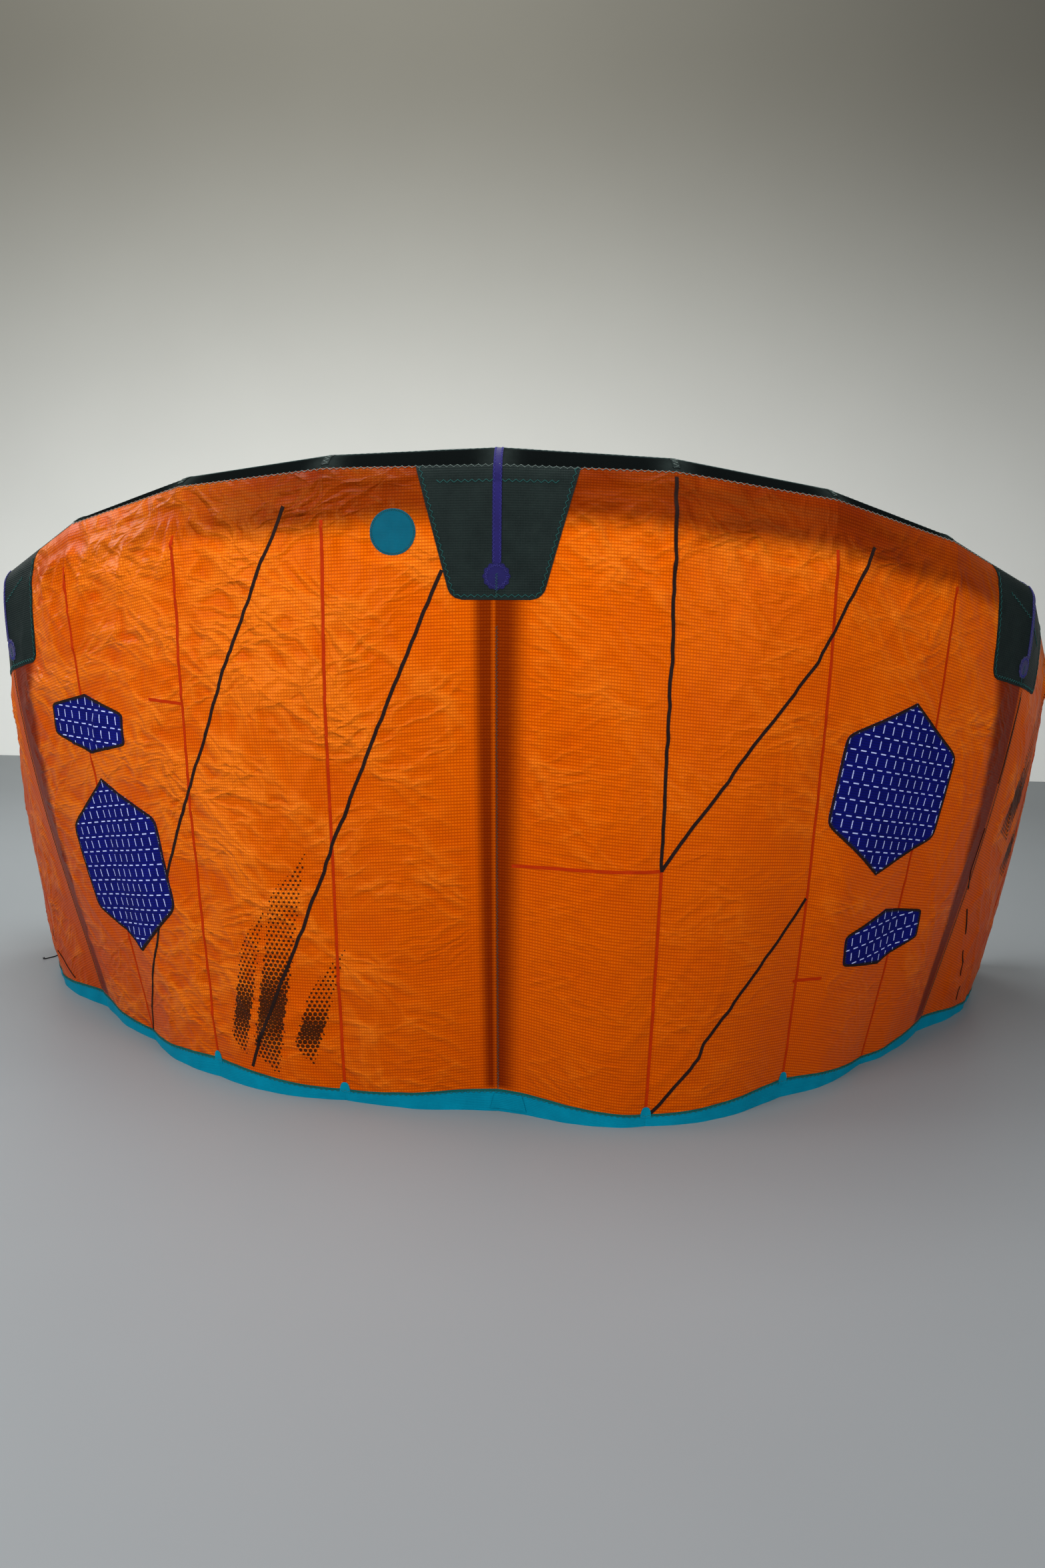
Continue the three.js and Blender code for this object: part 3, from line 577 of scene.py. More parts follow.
def ripstopFinish():
    # orange ripstop: a fine grid of thicker threads, crisp small creases with a painted highlight and painted
    # shade, painted shade where the tube and struts stand right behind it, lower down and towards the tips,
    # and black printed dots where the print asks for them
    finish, tree, shader = newFinish("orange_ripstop", 0.36, specular=0.14)
    shader.inputs["Specular Tint"].default_value = ripstop["gloss"]
    plane, u, v = surfacePlane(tree)
    ribs = thinLines(tree, v, ripstop["grid"], 0.0019)
    warps = thinLines(tree, u, ripstop["grid"] * 0.87, 0.0015)
    grid = calc(tree, "MAXIMUM", ribs, calc(tree, "MULTIPLY", warps, 0.75))
    patchy, fine = noise(tree, plane, 5.0, 3.0), noise(tree, plane, 60.0, 3.0, 0.6)
    tone = calc(tree, "ADD", calc(tree, "MULTIPLY", patchy, 0.5), calc(tree, "MULTIPLY", fine, 0.25))
    base = mixColour(tree, tone, ripstop["bright"], ripstop["deep"])
    # painted shade, deeper and redder lower down and towards both tips
    base = mixColour(tree, calc(tree, "MULTIPLY", attribute(tree, "low"), 0.48), base, ripstop["low"])
    creased = crispCreases(tree, plane)
    # painted shade in the hollows of the creases where the cloth is crinkled
    creaseShade = calc(tree, "MULTIPLY", ramp(tree, creased, 0.06, 0.005, 0.0, 0.3), attribute(tree, "crinkle"))
    base = mixColour(tree, creaseShade, base, ripstop["creaseShade"])
    # painted highlight on the ridges of the creases
    base = mixColour(tree, ramp(tree, creased, 0.09, 0.3, 0.0, 0.4), base, ripstop["creaseHighlight"])
    # painted shade where the tube and struts stand right behind the cloth
    base = mixColour(tree, attribute(tree, "shade"), base, ripstop["shade"])
    base = mixColour(tree, calc(tree, "MULTIPLY", grid, 0.66), base, ripstop["thread"], "MULTIPLY")
    base = mixColour(tree, blackDots(tree, u, v), base, ripstop["print"])
    height = calc(tree, "MULTIPLY_ADD", grid, 0.014, creased)
    height = calc(tree, "MULTIPLY_ADD", noise(tree, plane, 34.0, 4.0, 0.6), 0.05, height)
    paint(tree, shader, base, height, 1.0, 0.02)
    seeThrough(tree, shader, base, ripstop["through"])
    return finish


def clothFinish(name, light, dark, pitch, roughness, sheen=0.0, through=0.0, depth=0.4, creased=30.0):
    # a plain woven cloth: fine ribs, a soft change of tone and small creases
    finish, tree, shader = newFinish(name, roughness, sheen)
    plane, u, v = surfacePlane(tree)
    ribs = thinLines(tree, v, pitch, pitch * 0.28)
    warps = thinLines(tree, u, pitch, pitch * 0.2)
    patchy = noise(tree, plane, 14.0, 4.0, 0.6)
    tone = calc(tree, "MULTIPLY_ADD", patchy, 0.9, calc(tree, "MULTIPLY", ribs, 0.22))
    base = mixColour(tree, tone, dark, light)
    weave = calc(tree, "MULTIPLY", calc(tree, "ADD", ribs, warps), 0.12)
    paint(tree, shader, base, calc(tree, "ADD", weave, noise(tree, plane, creased, 4.0, 0.62)), depth, 0.003)
    if through:
        seeThrough(tree, shader, base, through)
    return finish


def tubeFinish():
    # the leading edge's heavy cloth: painted shade, near black, beside the canopy, dark green-grey above,
    # with a painted highlight as a paler strip along its crown, and a little paler in mottled patches where
    # it turns at the seams
    finish, tree, shader = newFinish("leading_edge_cloth", 0.6, specular=0.0)
    plane, u, v = surfacePlane(tree)
    turn = attribute(tree, "turn")
    mottle = noise(tree, plane, 26.0, 5.0, 0.65)
    base = mixColour(tree, mottle, colour(16, 24, 24), colour(34, 44, 44))
    # painted shade on the tube's front, next to the canopy
    base = mixColour(tree, ramp(tree, turn, 0.76, 0.84, 1.0, 0.0), base, colour(9, 12, 12))
    # painted highlight along the tube's crown
    base = mixColour(tree, ramp(tree, turn, 0.86, 0.9, 0.0, 0.75), base, colour(38, 50, 48))
    kink = calc(tree, "MULTIPLY", attribute(tree, "kink"), calc(tree, "MULTIPLY", mottle, 0.9))
    base = mixColour(tree, kink, base, colour(44, 52, 50))
    ribs = calc(tree, "ADD", thinLines(tree, v, 0.004, 0.001), thinLines(tree, u, 0.004, 0.001))
    height = calc(tree, "ADD", calc(tree, "MULTIPLY", ribs, 0.14), noise(tree, plane, 22.0, 4.0, 0.6))
    paint(tree, shader, base, height, 0.4, 0.003)
    return finish


def dashes(tree, across, lengthwise, gapAcross, gapAlong, length):
    # short stitches in rows a gap apart, each centred between two crossing rows
    part = calc(tree, "ABSOLUTE", inCell(tree, lengthwise, gapAlong))
    inStitch = calc(tree, "LESS_THAN", part, 0.5 * length / gapAlong)
    return calc(tree, "MULTIPLY", thinLines(tree, across, gapAcross, 0.0017), inStitch)


def appliqueFinish():
    # ribbed blue cloth, stitched with rows of white dashes that cross columns of short upright ones
    finish, tree, shader = newFinish("stitched_blue_cloth", 0.62)
    plane, u, v = surfacePlane(tree)
    ribs = thinLines(tree, v, 0.0066, 0.0016)
    base = mixColour(tree, noise(tree, plane, 12.0, 4.0, 0.6), colour(4, 8, 66), colour(12, 18, 116))
    base = mixColour(tree, calc(tree, "MULTIPLY", ribs, 0.45), base, colour(8, 10, 52))
    upright = dashes(tree, u, v, 0.034, 0.041, 0.021)
    level = dashes(tree, v, u, 0.041, 0.034, 0.018)
    thread = calc(tree, "MAXIMUM", upright, level)
    base = mixColour(tree, thread, base, colour(176, 186, 232))
    height = calc(tree, "ADD", calc(tree, "MULTIPLY", ribs, -0.35), calc(tree, "MULTIPLY", thread, -0.5))
    height = calc(tree, "ADD", height, calc(tree, "MULTIPLY", noise(tree, plane, 30.0, 3.0), 0.8))
    paint(tree, shader, base, height, 0.5, 0.002)
    return finish


def threadFinish(name, tone, dark):
    # a twisted thread: fine noise between two tones
    finish, tree, shader = newFinish(name, 0.7, 0.15)
    twist = noise(tree, put(tree, "TexCoord", {}, "Object"), 420.0, 1.0)
    paint(tree, shader, mixColour(tree, twist, dark, tone), twist, 0.3, 0.0006)
    return finish


finishes = {
    "canopy": ripstopFinish(),
    "tube": tubeFinish(),
    "strut": clothFinish("strut_cloth", colour(190, 72, 20), colour(132, 42, 8), 0.0044, 0.58, depth=0.35),
    "patch": clothFinish(
        "patch_cloth", colour(30, 40, 38), colour(9, 15, 15), 0.0056, 0.42, depth=0.9, creased=16.0
    ),
    "band": clothFinish(
        "hem_cloth", colour(0, 142, 172), colour(0, 98, 124), 0.0036, 0.55,
        through=0.18, depth=0.45, creased=24.0,
    ),
    "tape": clothFinish("webbing", colour(34, 27, 96), colour(13, 10, 52), 0.0024, 0.68, 0.2, depth=0.5),
    "rosette": clothFinish(
        "rosette_cloth", colour(30, 26, 86), colour(12, 10, 50), 0.0024, 0.68, 0.2, depth=0.5
    ),
    "label": clothFinish("label_cloth", colour(3, 88, 108), colour(0, 62, 80), 0.0034, 0.5, depth=0.3),
    "applique": appliqueFinish(),
    "blackTape": clothFinish("black_seam_tape", colour(42, 27, 23), colour(17, 10, 10), 0.002, 0.7),
    "redTape": clothFinish("red_seam_tape", colour(190, 52, 3), colour(158, 34, 0), 0.002, 0.6, through=0.2),
    "tealThread": threadFinish("teal_thread", colour(28, 96, 92), colour(10, 50, 50)),
    "blueThread": threadFinish("blue_thread", colour(66, 62, 156), colour(28, 26, 88)),
    "paleThread": threadFinish("pale_thread", colour(122, 136, 130), colour(64, 76, 72)),
    "blackThread": threadFinish("black_thread", colour(34, 32, 34), colour(10, 10, 12)),
    "greenThread": threadFinish("green_grey_thread", colour(70, 76, 62), colour(34, 40, 34)),
    "hemEdge": clothFinish("hem_edging", colour(16, 92, 88), colour(6, 56, 54), 0.003, 0.6, depth=0.5),
    "cord": threadFinish("black_cord", colour(40, 40, 42), colour(12, 12, 13)),
}
print("finishes made")

# A line pigtail lies at the left tip: its route, radius and steps.
pigtail = {
    "route": [
        [-1547.4, 1308.1, 13.9], [-1554, 1309.3, 11.2], [-1562, 1307, 8], [-1572, 1298, 4.6],
        [-1579, 1284, 2.6], [-1582, 1262, 2], [-1582, 1236, 2], [-1580, 1206, 2], [-1577, 1174, 2],
        [-1576, 1144, 2], [-1579, 1118, 2], [-1589, 1094, 2], [-1605, 1073, 2],
    ],
    "radius": 1.8, "sides": 12, "stepsEach": 12,
}


def smoothRoute(points, stepsEach):
    # a curve through every point: two mirrored ends, then four points in a row for each stretch
    p = np.array(points, float)
    p = np.concatenate([[2 * p[0] - p[1]], p, [2 * p[-1] - p[-2]]])
    t = np.arange(stepsEach)[None, :, None] / stepsEach
    a, b, c, d = (p[i : len(p) - 3 + i, None] for i in range(4))
    curve = 0.5 * (2 * b + (c - a) * t + (2 * a - 5 * b + 4 * c - d) * t**2 + (3 * b - a - 3 * c + d) * t**3)
    return np.concatenate([curve.reshape(-1, 3), p[-2:-1]])


def tubeAlong(route, radius, sides, closed=False):
    # circles square to a line, one at each of its points
    tangent = unit(np.roll(route, -1, 0) - np.roll(route, 1, 0) if closed else np.gradient(route, axis=0))
    side = unit(np.cross(tangent, [0.13, 0.21, 1.0]))
    other = np.cross(tangent, side)
    angle = wholeTurn(sides)
    rings = route[:, None] + radius * circle(side[:, None], other[:, None], angle)
    return sweep(rings, clothPlane(angle * radius, lengthAlong(route)[:, None]), closed)


pigtailLine = smoothRoute(pigtail["route"], pigtail["stepsEach"])
pigtailCord = meshPiece("pigtail_cord", *tubeAlong(pigtailLine, pigtail["radius"], pigtail["sides"]))
pigtailPiece = settle(pigtailCord, "cord", "cord", "pigtail_line")

knot = {"steps": 72, "size": (0.95, 0.95, 1.5), "radius": 1.55, "sides": 10}


def overhandKnot():
    # the cord's end drawn up into a trefoil, small enough for its solid's box
    t = wholeTurn(knot["steps"])
    flat = np.stack([np.sin(t) + 2 * np.sin(2 * t), np.cos(t) - 2 * np.cos(2 * t), -np.sin(3 * t)], 1)
    low, high = (np.array(corner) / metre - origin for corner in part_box("pigtail_knot"))
    route = (low + high) / 2 + flat * np.array(knot["size"])
    return meshPiece("pigtail_knot_end", *tubeAlong(route, knot["radius"], knot["sides"], True))


knotPiece = settle(overhandKnot(), "cord", "cord", "pigtail_knot")

canopy = {"columns": 56, "edgeRows": 9, "rows": 146, "inner": 0.3, "outer": 1.8, "gap": 0.15}


def bayName(k):
    # bays are numbered from the middle seam to each side
    return f"left_{middleSeam - k}" if k < middleSeam else f"right_{k - middleSeam + 1}"


def tubeShade(place, down):
    # painted shade: how dark the cloth looks where the tube stands behind it, down to the tube's underside
    k = np.clip(np.floor(place).astype(int), 0, lastSeam - 1)
    share = place - k
    level = tubeCentre[k, 2] * (1 - share) + tubeCentre[k + 1, 2] * share
    size = tubeRadius[k] * (1 - share) + tubeRadius[k + 1] * share
    fall = (level - sheetPoint(place, down)[..., 2]) / size
    uneven = 0.22 * (softNoise(place * 2.3, down / 90, 11) - 0.5)
    side = 0.3 + 0.7 * ease(4.2, 5.9, place) * ease(12.2, 9.2, place)
    return 0.82 * side * ease(1.3, 0.5, fall + uneven) * (0.92 + 0.16 * softNoise(place * 5, down / 40, 12))


def strutShade(place, down):
    # painted shade where a strut stands behind the cloth
    # a strut shows through as a dark stripe that narrows downwards: the middle one crisp on its
    # left and soft on its right, with a paler line just left of its seam, the outer two a little
    # inwards of theirs, crisp beside the seam and soft on the inner side
    span, lower = 380, np.clip(down / canopyFoot, 0, 1)
    aside = (place - middleSeam) * span
    size = 50 * (1 - 0.42 * lower)
    dark = 0.88 * ease(-size - 16, -size + 12, aside) * ease(size + 34, size - 24, aside)
    dark = dark * (1 - 0.62 * ease(6, 3, np.abs(aside + 8)))
    for seam in (strutSeams[0], strutSeams[-1]):
        inward = (place - seam) * span * np.sign(middleSeam - seam)
        width = 165 - 90 * lower
        stripe = ease(10, 22, inward) * ease(1.2 * width, 0.85 * width, inward)
        stripe = stripe + 0.5 * ease(-10, -2, inward) * ease(10, 2, inward)
        stripe = stripe + 0.2 * ease(-2, 6, inward) * ease(24, 12, inward)
        dark = np.maximum(dark, 0.92 * stripe)
    return 0.94 * dark * ease(1504, 1488, down) * ease(-10, 40, down)


printBars = [  # middle, half width, lower and upper end, and lean of each bar of dots
    (5.24, 0.07, 60, 420, 0.2), (5.46, 0.1, 34, 560, 0.24), (5.74, 0.08, 80, 330, 0.2),
    (11.45, 0.16, 560, 960, 0.35), (11.72, 0.1, 430, 700, 0.35),
]


def printedDots(place, down):
    # a print of dots in slanted bars, three low on the left and two on the right tip; each bar is
    # cut off aslant at both ends, darkest at a third of its height and fading both ways
    height = (1 - down / canopyFoot) * np.interp(place, ends, tubeCentre[:, 2])
    size = np.zeros(np.shape(place))
    for middle, half, low, high, lean in printBars:
        rising = (height - low) / (high - low)
        aside = (place - middle - lean * rising) / half
        inside = ease(1.03, 0.97, np.abs(aside)) * ease(low - 4, low + 4, height + 22 * aside)
        inside = inside * ease(high + 4, high - 4, height - 60 * aside)
        size = np.maximum(size, inside * (0.45 + 0.5 * np.exp(-(((rising - 0.3) / 0.25) ** 2))))
    return size


def crumpled(place, down):
    # how crumpled the finish is: most in the left bays and below the tube, calm beside the struts
    amount = 0.42 + 0.54 * ease(7.6, 5.2, place) + 0.26 * ease(9.2, 12.5, place)
    amount = amount * (1 - 0.35 * ease(500, 1300, down)) * (1 - 0.35 * ease(3.2, 1.5, place))
    amount = amount + 0.3 * ease(230, 90, down) * ease(10, 60, down)
    toStrut = np.min([np.abs(place - seam) for seam in strutSeams], axis=0)
    return np.clip(amount * (1 - 0.75 * ease(0.26, 0.12, toStrut)), 0.05, 1.2)


def paintedShadeLowAndTips(place, down):
    # painted shade: the cloth looks deeper and redder lower down and towards both tips
    return np.clip(down / canopyFoot, 0, 1) + 0.75 * ease(5.4, 2.6, place) + 0.5 * ease(9.5, 12, place)


def acrossBays(first, last, columns):
    # even places from one seam to another, a small gap short of each
    edge = canopy["gap"] / baySpan
    return np.linspace(first + edge, last - edge, columns + 1)


def canopyPanel(k):
    # the cloth of one bay, from its sewn edge on the tube to the hem band
    edgeRows = np.linspace(clothEdge, 0, canopy["edgeRows"])[:-1]
    rows = np.concatenate([edgeRows, np.linspace(0, canopyFoot - 0.2, canopy["rows"])])
    place, down = np.meshgrid(acrossBays(k, k + 1, canopy["columns"]), rows)
    values = {
        "shade": np.maximum(tubeShade(place, down), strutShade(place, down)),
        "crinkle": crumpled(place, down), "dots": printedDots(place, down), "low": paintedShadeLowAndTips(place, down),
    }
    name = f"canopy_cloth_{bayName(k)}"
    piece = clothPiece(name, place, down, canopy["inner"], canopy["outer"], values=values)
    return settle(piece, "canopy", "canopy", f"canopy_panel_{bayName(k)}")


panels = [canopyPanel(k) for k in range(lastSeam)]
print("canopy made")

hem = {"columns": 48, "rows": 7, "inner": 0.3, "outer": 2.3}


def hemStrip(k):
    # the band below one bay; the first and the last go on round the tips
    first, last = (0 if k == 1 else k), (lastSeam if k == lastSeam - 2 else k + 1)
    rows = np.linspace(canopyFoot + 0.2, floorLine, hem["rows"])
    place, down = np.meshgrid(acrossBays(first, last, hem["columns"] * (last - first)), rows)
    piece = clothPiece(f"hem_{bayName(k)}", place, down, hem["inner"], hem["outer"])
    return settle(piece, "band", "band", f"hem_band_{bayName(k)}")


hems = {k: hemStrip(k) for k in range(1, lastSeam - 1)}
print("hem made")


leading = {"around": 72, "stations": 25, "gap": 0.15, "puff": 2.5, "wavy": 2.5}
tipCap = np.array([[0, 1], [8, 0.975], [15, 0.86], [21, 0.7], [26, 0.5], [28, 0.25]])  # step and size


def tubeRing(k, angle, size=1.0, step=0.0):
    # a circle round the tube at a seam, of a size, a step along it
    return tubeCentre[k] + along[k] * step + tubeRadius[k] * size * circle(out[k], rise[k], angle)


def leadingLength(k):
    # straight from ring to ring, a little fuller in between at its crown and back
    angle = wholeTurn(leading["around"])
    far = np.linalg.norm(tubeCentre[k + 1] - tubeCentre[k])
    gap = leading["gap"] / far
    share = np.linspace(gap, 1 - gap, leading["stations"])[:, None, None]
    a, b = tubeRing(k, angle), tubeRing(k + 1, angle)
    free = ease(math.radians(62), math.radians(95), angle) * ease(math.radians(350), math.radians(320), angle)
    middle = tubeCentre[k] + (tubeCentre[k + 1] - tubeCentre[k]) * share
    rings = a + (b - a) * share
    waves = np.broadcast_arrays(share[..., 0] * 6 + k * 6, angle[None] * 64 / (2 * np.pi) / 8)
    fuller = leading["puff"] + leading["wavy"] * (softNoise(*waves, 21) - 0.5)
    fuller = free * np.sin(np.pi * share[..., 0]) ** 0.5 * fuller
    rings = list(rings + unit(rings - middle) * fuller[..., None])
    if k == 0:
        rings = [tubeRing(0, angle, size, -step) for step, size in tipCap[::-1]] + rings[1:]
    if k == lastSeam - 1:
        rings = rings[:-1] + [tubeRing(lastSeam, angle, size, step) for step, size in tipCap]
    rings = np.array(rings)
    length = np.linspace(0, far, len(rings))[:, None]
    turn = np.broadcast_to(angle / (np.pi / 2), rings.shape[:2])
    kink = np.broadcast_to(np.exp(-((np.minimum(length, far - length) / 34) ** 2)), rings.shape[:2])
    values = {"turn": np.append(turn.ravel(), [0, 0]), "kink": np.append(kink.ravel(), [1, 1])}
    shape = sweep(rings, clothPlane(length + 400 * k, angle * 80))
    piece = meshPiece(f"leading_edge_cloth_{bayName(k)}", *shape, values)
    return settle(piece, "tube", "tube", f"leading_edge_{bayName(k)}")


for k in range(lastSeam):
    leadingLength(k)

turnBand = {"steps": 64, "half": 9, "swing": 5.5}
fineThread = {"radius": 0.7, "sides": 5}


def tubeSeam(k):
    # a narrow band round the tube's back at a turn, stopped short of a strut's head, and its thread
    first = math.radians(96 if k in strutSeams else sewnAt[k] + 8)
    last = math.radians(232 if k in strutSeams else 338)
    half = turnBand["half"]
    angle = np.linspace(first, last, turnBand["steps"])
    radial = circle(out[k], rise[k], angle)
    profile = ((-half, 0.2), (half, 0.2), (half, 1.1), (0, 1.4), (-half, 1.1))
    rings = [tubeCentre[k] + radial * (tubeRadius[k] + high) + along[k] * aside for aside, high in profile]
    plane = clothPlane(np.array([0, 2 * half, 2 * half, half, 0]), (angle * tubeRadius[k])[:, None])
    swing = sideToSide(turnBand["steps"], turnBand["swing"])[:, None] * along[k]
    route = tubeCentre[k] + radial * (tubeRadius[k] + 1.5) + swing
    return sweep(np.stack(rings, 1), plane), tubeAlong(route, **fineThread)


tubeSeams, seamThreads = zip(*[tubeSeam(k) for k in range(1, lastSeam)])
trim("leading_edge_seams", tubeSeams, "tube", "patch")
trim("leading_edge_stitches", seamThreads, "tube", "paleThread")
print("leading edge made")

strutSizes = {"left": (3, 40, 21), "centre": (7, 47, 24), "right": (11, 40, 21)}  # seam and two radii
strut = {"way": [0, *wayMarks, 0.968], "around": 48, "stations": 60, "stitches": 190, "swing": 2.5}
strutCap = np.array([[4, 0.93], [8, 0.8], [11, 0.62], [13, 0.4], [14, 0.18]])  # step and size


def cutHead(rings, seam):
    # each line of the strut starts where it comes out of both straight lengths of tube
    inside = np.zeros(rings.shape[:2], bool)
    for k in (seam - 1, seam):
        axis = unit(tubeCentre[k + 1] - tubeCentre[k])
        away = rings - tubeCentre[k]
        off = np.linalg.norm(away - (away @ axis)[..., None] * axis, axis=-1)
        inside |= off < tubeRadius[k : k + 2].max() + 1
    start = np.argmax(~inside, axis=0)
    order = np.arange(len(rings))
    place = start[None] + (order / order[-1])[:, None] * (order[-1] - start)[None]
    low = np.floor(place).astype(int)
    high = np.minimum(low + 1, order[-1])
    column = np.arange(strut["around"])[None]
    share = (place - low)[..., None]
    return rings[low, column] * (1 - share) + rings[high, column] * share


def strutStitches(rings, centre):
    # a row of stitches along each of the two lines at the strut's back
    count, order = strut["stitches"], np.arange(len(rings))
    marks = np.linspace(3, order[-1] - 5, count)
    atMarks = lambda run: np.stack([np.interp(marks, order, run[:, axis]) for axis in range(3)], 1)
    threads = []
    for column in (-1, 1):
        route = atMarks(rings[:, column])
        outwards = unit(route - atMarks(centre))
        sideways = unit(np.cross(outwards, unit(np.gradient(route, axis=0))))
        route = route + outwards * 0.5 + sideways * sideToSide(count, strut["swing"])[:, None]
        threads.append(tubeAlong(route, **fineThread))
    return threads


def strutPiece(name, seam, topRadius, tailRadius):
    # rings that lie against the sheet's inner face and taper to the tail; the head is cut to the tube
    way = np.linspace(0, strut["way"][-1], strut["stations"])
    share = np.interp(way, strut["way"], np.linspace(0, 1, len(strut["way"])))
    radius = (topRadius + (tailRadius - topRadius) * share)[:, None]
    p, n = onSheet(np.full(len(way), float(seam)), way * canopyFoot)
    tangent = unit(np.gradient(p, axis=0))
    aside = unit(np.cross(n, tangent))
    inward = unit(np.cross(tangent, aside))
    centre = p - inward * (radius + 0.5)
    centre = np.concatenate([centre, centre[-1] + tangent[-1] * strutCap[:, :1]])
    radius = np.concatenate([radius, radius[-1] * strutCap[:, 1:]])
    inward, aside = (np.concatenate([v, np.repeat(v[-1:], len(strutCap), 0)]) for v in (inward, aside))
    radial = circle(inward[:, None], aside[:, None], wholeTurn(strut["around"]))
    rings = cutHead(centre[:, None] + radius[..., None] * radial, seam)
    plane = clothPlane(wholeTurn(strut["around"]) * 40, np.arange(len(rings))[:, None] * 24)
    piece = meshPiece(f"strut_cloth_{name}", *sweep(rings, plane))
    settle(piece, "strut", "strut", f"strut_{name}")
    return strutStitches(rings, centre)


strutThreads = []
for name, sizes in strutSizes.items():
    strutThreads += strutPiece(name, *sizes)
trim("strut_stitches", strutThreads, "strut", "paleThread")
print("struts made")

# Seam, half widths at the top and at the foot, and height of each head patch.
headPatches = {"left": (-4, 216, 165, 275), "centre": (0, 187, 104, 300), "right": (4, 216, 165, 275)}
patchCorner = 26
# Lifts off the sheet, to the low and the high side of what is sewn on in one layer or over it.
lift = {"low": 2.1, "lowTop": 3.1, "high": 3.4, "highTop": 4.4, "tape": 0.3}


def patchHalf(y, topHalf, footHalf, drop):
    # half the patch's width at a height y of its frame: straight sides, rounded at the foot
    side = footHalf + (topHalf - footHalf) * (y + drop) / drop
    t = np.clip((y + drop) / patchCorner, 0, 1)
    return side - patchCorner * (1 - np.sqrt(np.clip(1 - (1 - t) ** 2, 0, 1)))


def headPatch(name, seam, topHalf, footHalf, drop):
    # columns run from the canopy's sewn edge to the patch's foot
    flat = frameOnSheet(seam, 3)
    middle, reach, marks = seam + middleSeam, 0.72, 401
    edgePlace = np.linspace(middle - reach, middle + reach, marks)
    away = sheetPoint(edgePlace, np.full(marks, float(canopyEdge))) - flat["middle"]
    edgeX, edgeY = dot(away, flat["x"]), dot(away, flat["y"])
    across = np.linspace(-1, 1, 81)
    startPlace = np.interp(across, edgeX / patchHalf(edgeY, topHalf, footHalf, drop), edgePlace)
    startY = np.interp(startPlace, edgePlace, edgeY)
    rows = np.linspace(0, 1, 49)[:, None]
    y = startY + (-drop - startY) * (ease(0, 1, rows) * 0.4 + rows * 0.6)
    x = across * patchHalf(y, topHalf, footHalf, drop)
    place, down = placesInFrame(flat, x, y)
    place[0], down[0] = startPlace, clothEdge
    cloth = f"strut_head_patch_{name}"
    piece = clothPiece(cloth, place, down, lift["low"], lift["lowTop"], clothPlane(x, y))
    return settle(piece, "patch", "patch", f"head_patch_{name}"), flat


def roundPiece(name, flat, outline, inner, outer, slot, finish, replaced, steps=96, rings=14, middle=(0, 0)):
    # rings from the middle out to an outline in a flat frame, laid on the sheet, closed by a pole
    angle = wholeTurn(steps)
    reach = np.linspace(0, 1, rings + 1)[1:, None] * outline(angle)
    x = np.append(middle[0], (middle[0] + reach * np.cos(angle)).ravel())
    y = np.append(middle[1], (middle[1] + reach * np.sin(angle)).ravel())
    place, down = placesInFrame(flat, x, y)
    high, normal = onSheet(place, down, outer)
    low = high - normal * (outer - inner)
    total = len(high)
    i = np.arange(steps)
    j = (i + 1) % steps
    fan = np.stack([np.zeros(steps, int), 1 + i, 1 + j], 1)
    first = np.arange(rings - 1)[:, None] * steps + 1
    a, b = (first + i).ravel(), (first + j).ravel()
    quads = np.stack([a, a + steps, b + steps, b], 1)
    edgeStart = 1 + (rings - 1) * steps
    rim = np.stack([edgeStart + i, edgeStart + i + total, edgeStart + j + total, edgeStart + j], 1)
    faces = fan.tolist() + quads.tolist()
    faces += (fan[:, ::-1] + total).tolist() + (quads[:, ::-1] + total).tolist() + rim.tolist()
    piece = meshPiece(name, np.concatenate([high, low]), faces, clothPlane(np.tile(x, 2), np.tile(y, 2)))
    return settle(piece, slot, finish, replaced)


rosette = {"radius": 30, "lobes": 12, "lobeDepth": 3, "aboveFoot": 52}


def scallops(angle):
    # a circle whose radius swells once for each lobe
    return rosette["radius"] + rosette["lobeDepth"] / 2 * np.cos(rosette["lobes"] * angle)


def spanBeside(middle, down, side):
    # millimetres for one whole seam, from a short step to one side of a line down the sheet
    step = math.copysign(0.05, side)
    beyond, here = (sheetPoint(np.full(len(down), float(place)), down) for place in (middle + step, middle))
    return np.linalg.norm(beyond - here, axis=1) / abs(step)


webbing = {"half": 10, "columns": 7, "tubeRows": 12, "rows": 50, "thick": 1.0}


def strutTape(name, seam, flat, drop):
    # a strip down the seam, from the crown of the tube to the rosette
    bottom = placesInFrame(flat, [0.0], [rosette["aboveFoot"] - drop + 29], canopyEdge)[1][0]
    overTube = np.linspace(tubeTop + 2, canopyEdge - 0.5, webbing["tubeRows"])
    down = np.concatenate([overTube, np.linspace(canopyEdge + 0.5, bottom, webbing["rows"])])
    aside = np.linspace(-webbing["half"], webbing["half"], webbing["columns"])
    middle = seam + middleSeam
    spans = [spanBeside(middle, down, side)[:, None] for side in (-1, 1)]
    place = middle + aside / np.where(aside < 0, *spans)
    down = down[:, None] * np.ones(len(aside))
    low = np.where(down < canopyEdge, lift["tape"], lift["high"])
    cloth = f"strut_webbing_{name}"
    piece = clothPiece(cloth, place, down, low, low + webbing["thick"], clothPlane(aside, -down))
    return settle(piece, "tape", "tape", f"strut_tape_{name}")


patches, rosettes, webbings, patchFrames = {}, {}, {}, {}
for name, (seam, topHalf, footHalf, drop) in headPatches.items():
    patches[name], flat = headPatch(name, seam, topHalf, footHalf, drop)
    patchFrames[name] = flat
    rosettes[name] = roundPiece(
        f"rosette_cloth_{name}", flat, scallops, lift["high"], lift["highTop"], "tape", "rosette",
        f"rosette_{name}", rings=8, middle=(0, rosette["aboveFoot"] - drop),
    )
    webbings[name] = strutTape(name, seam, flat, drop)

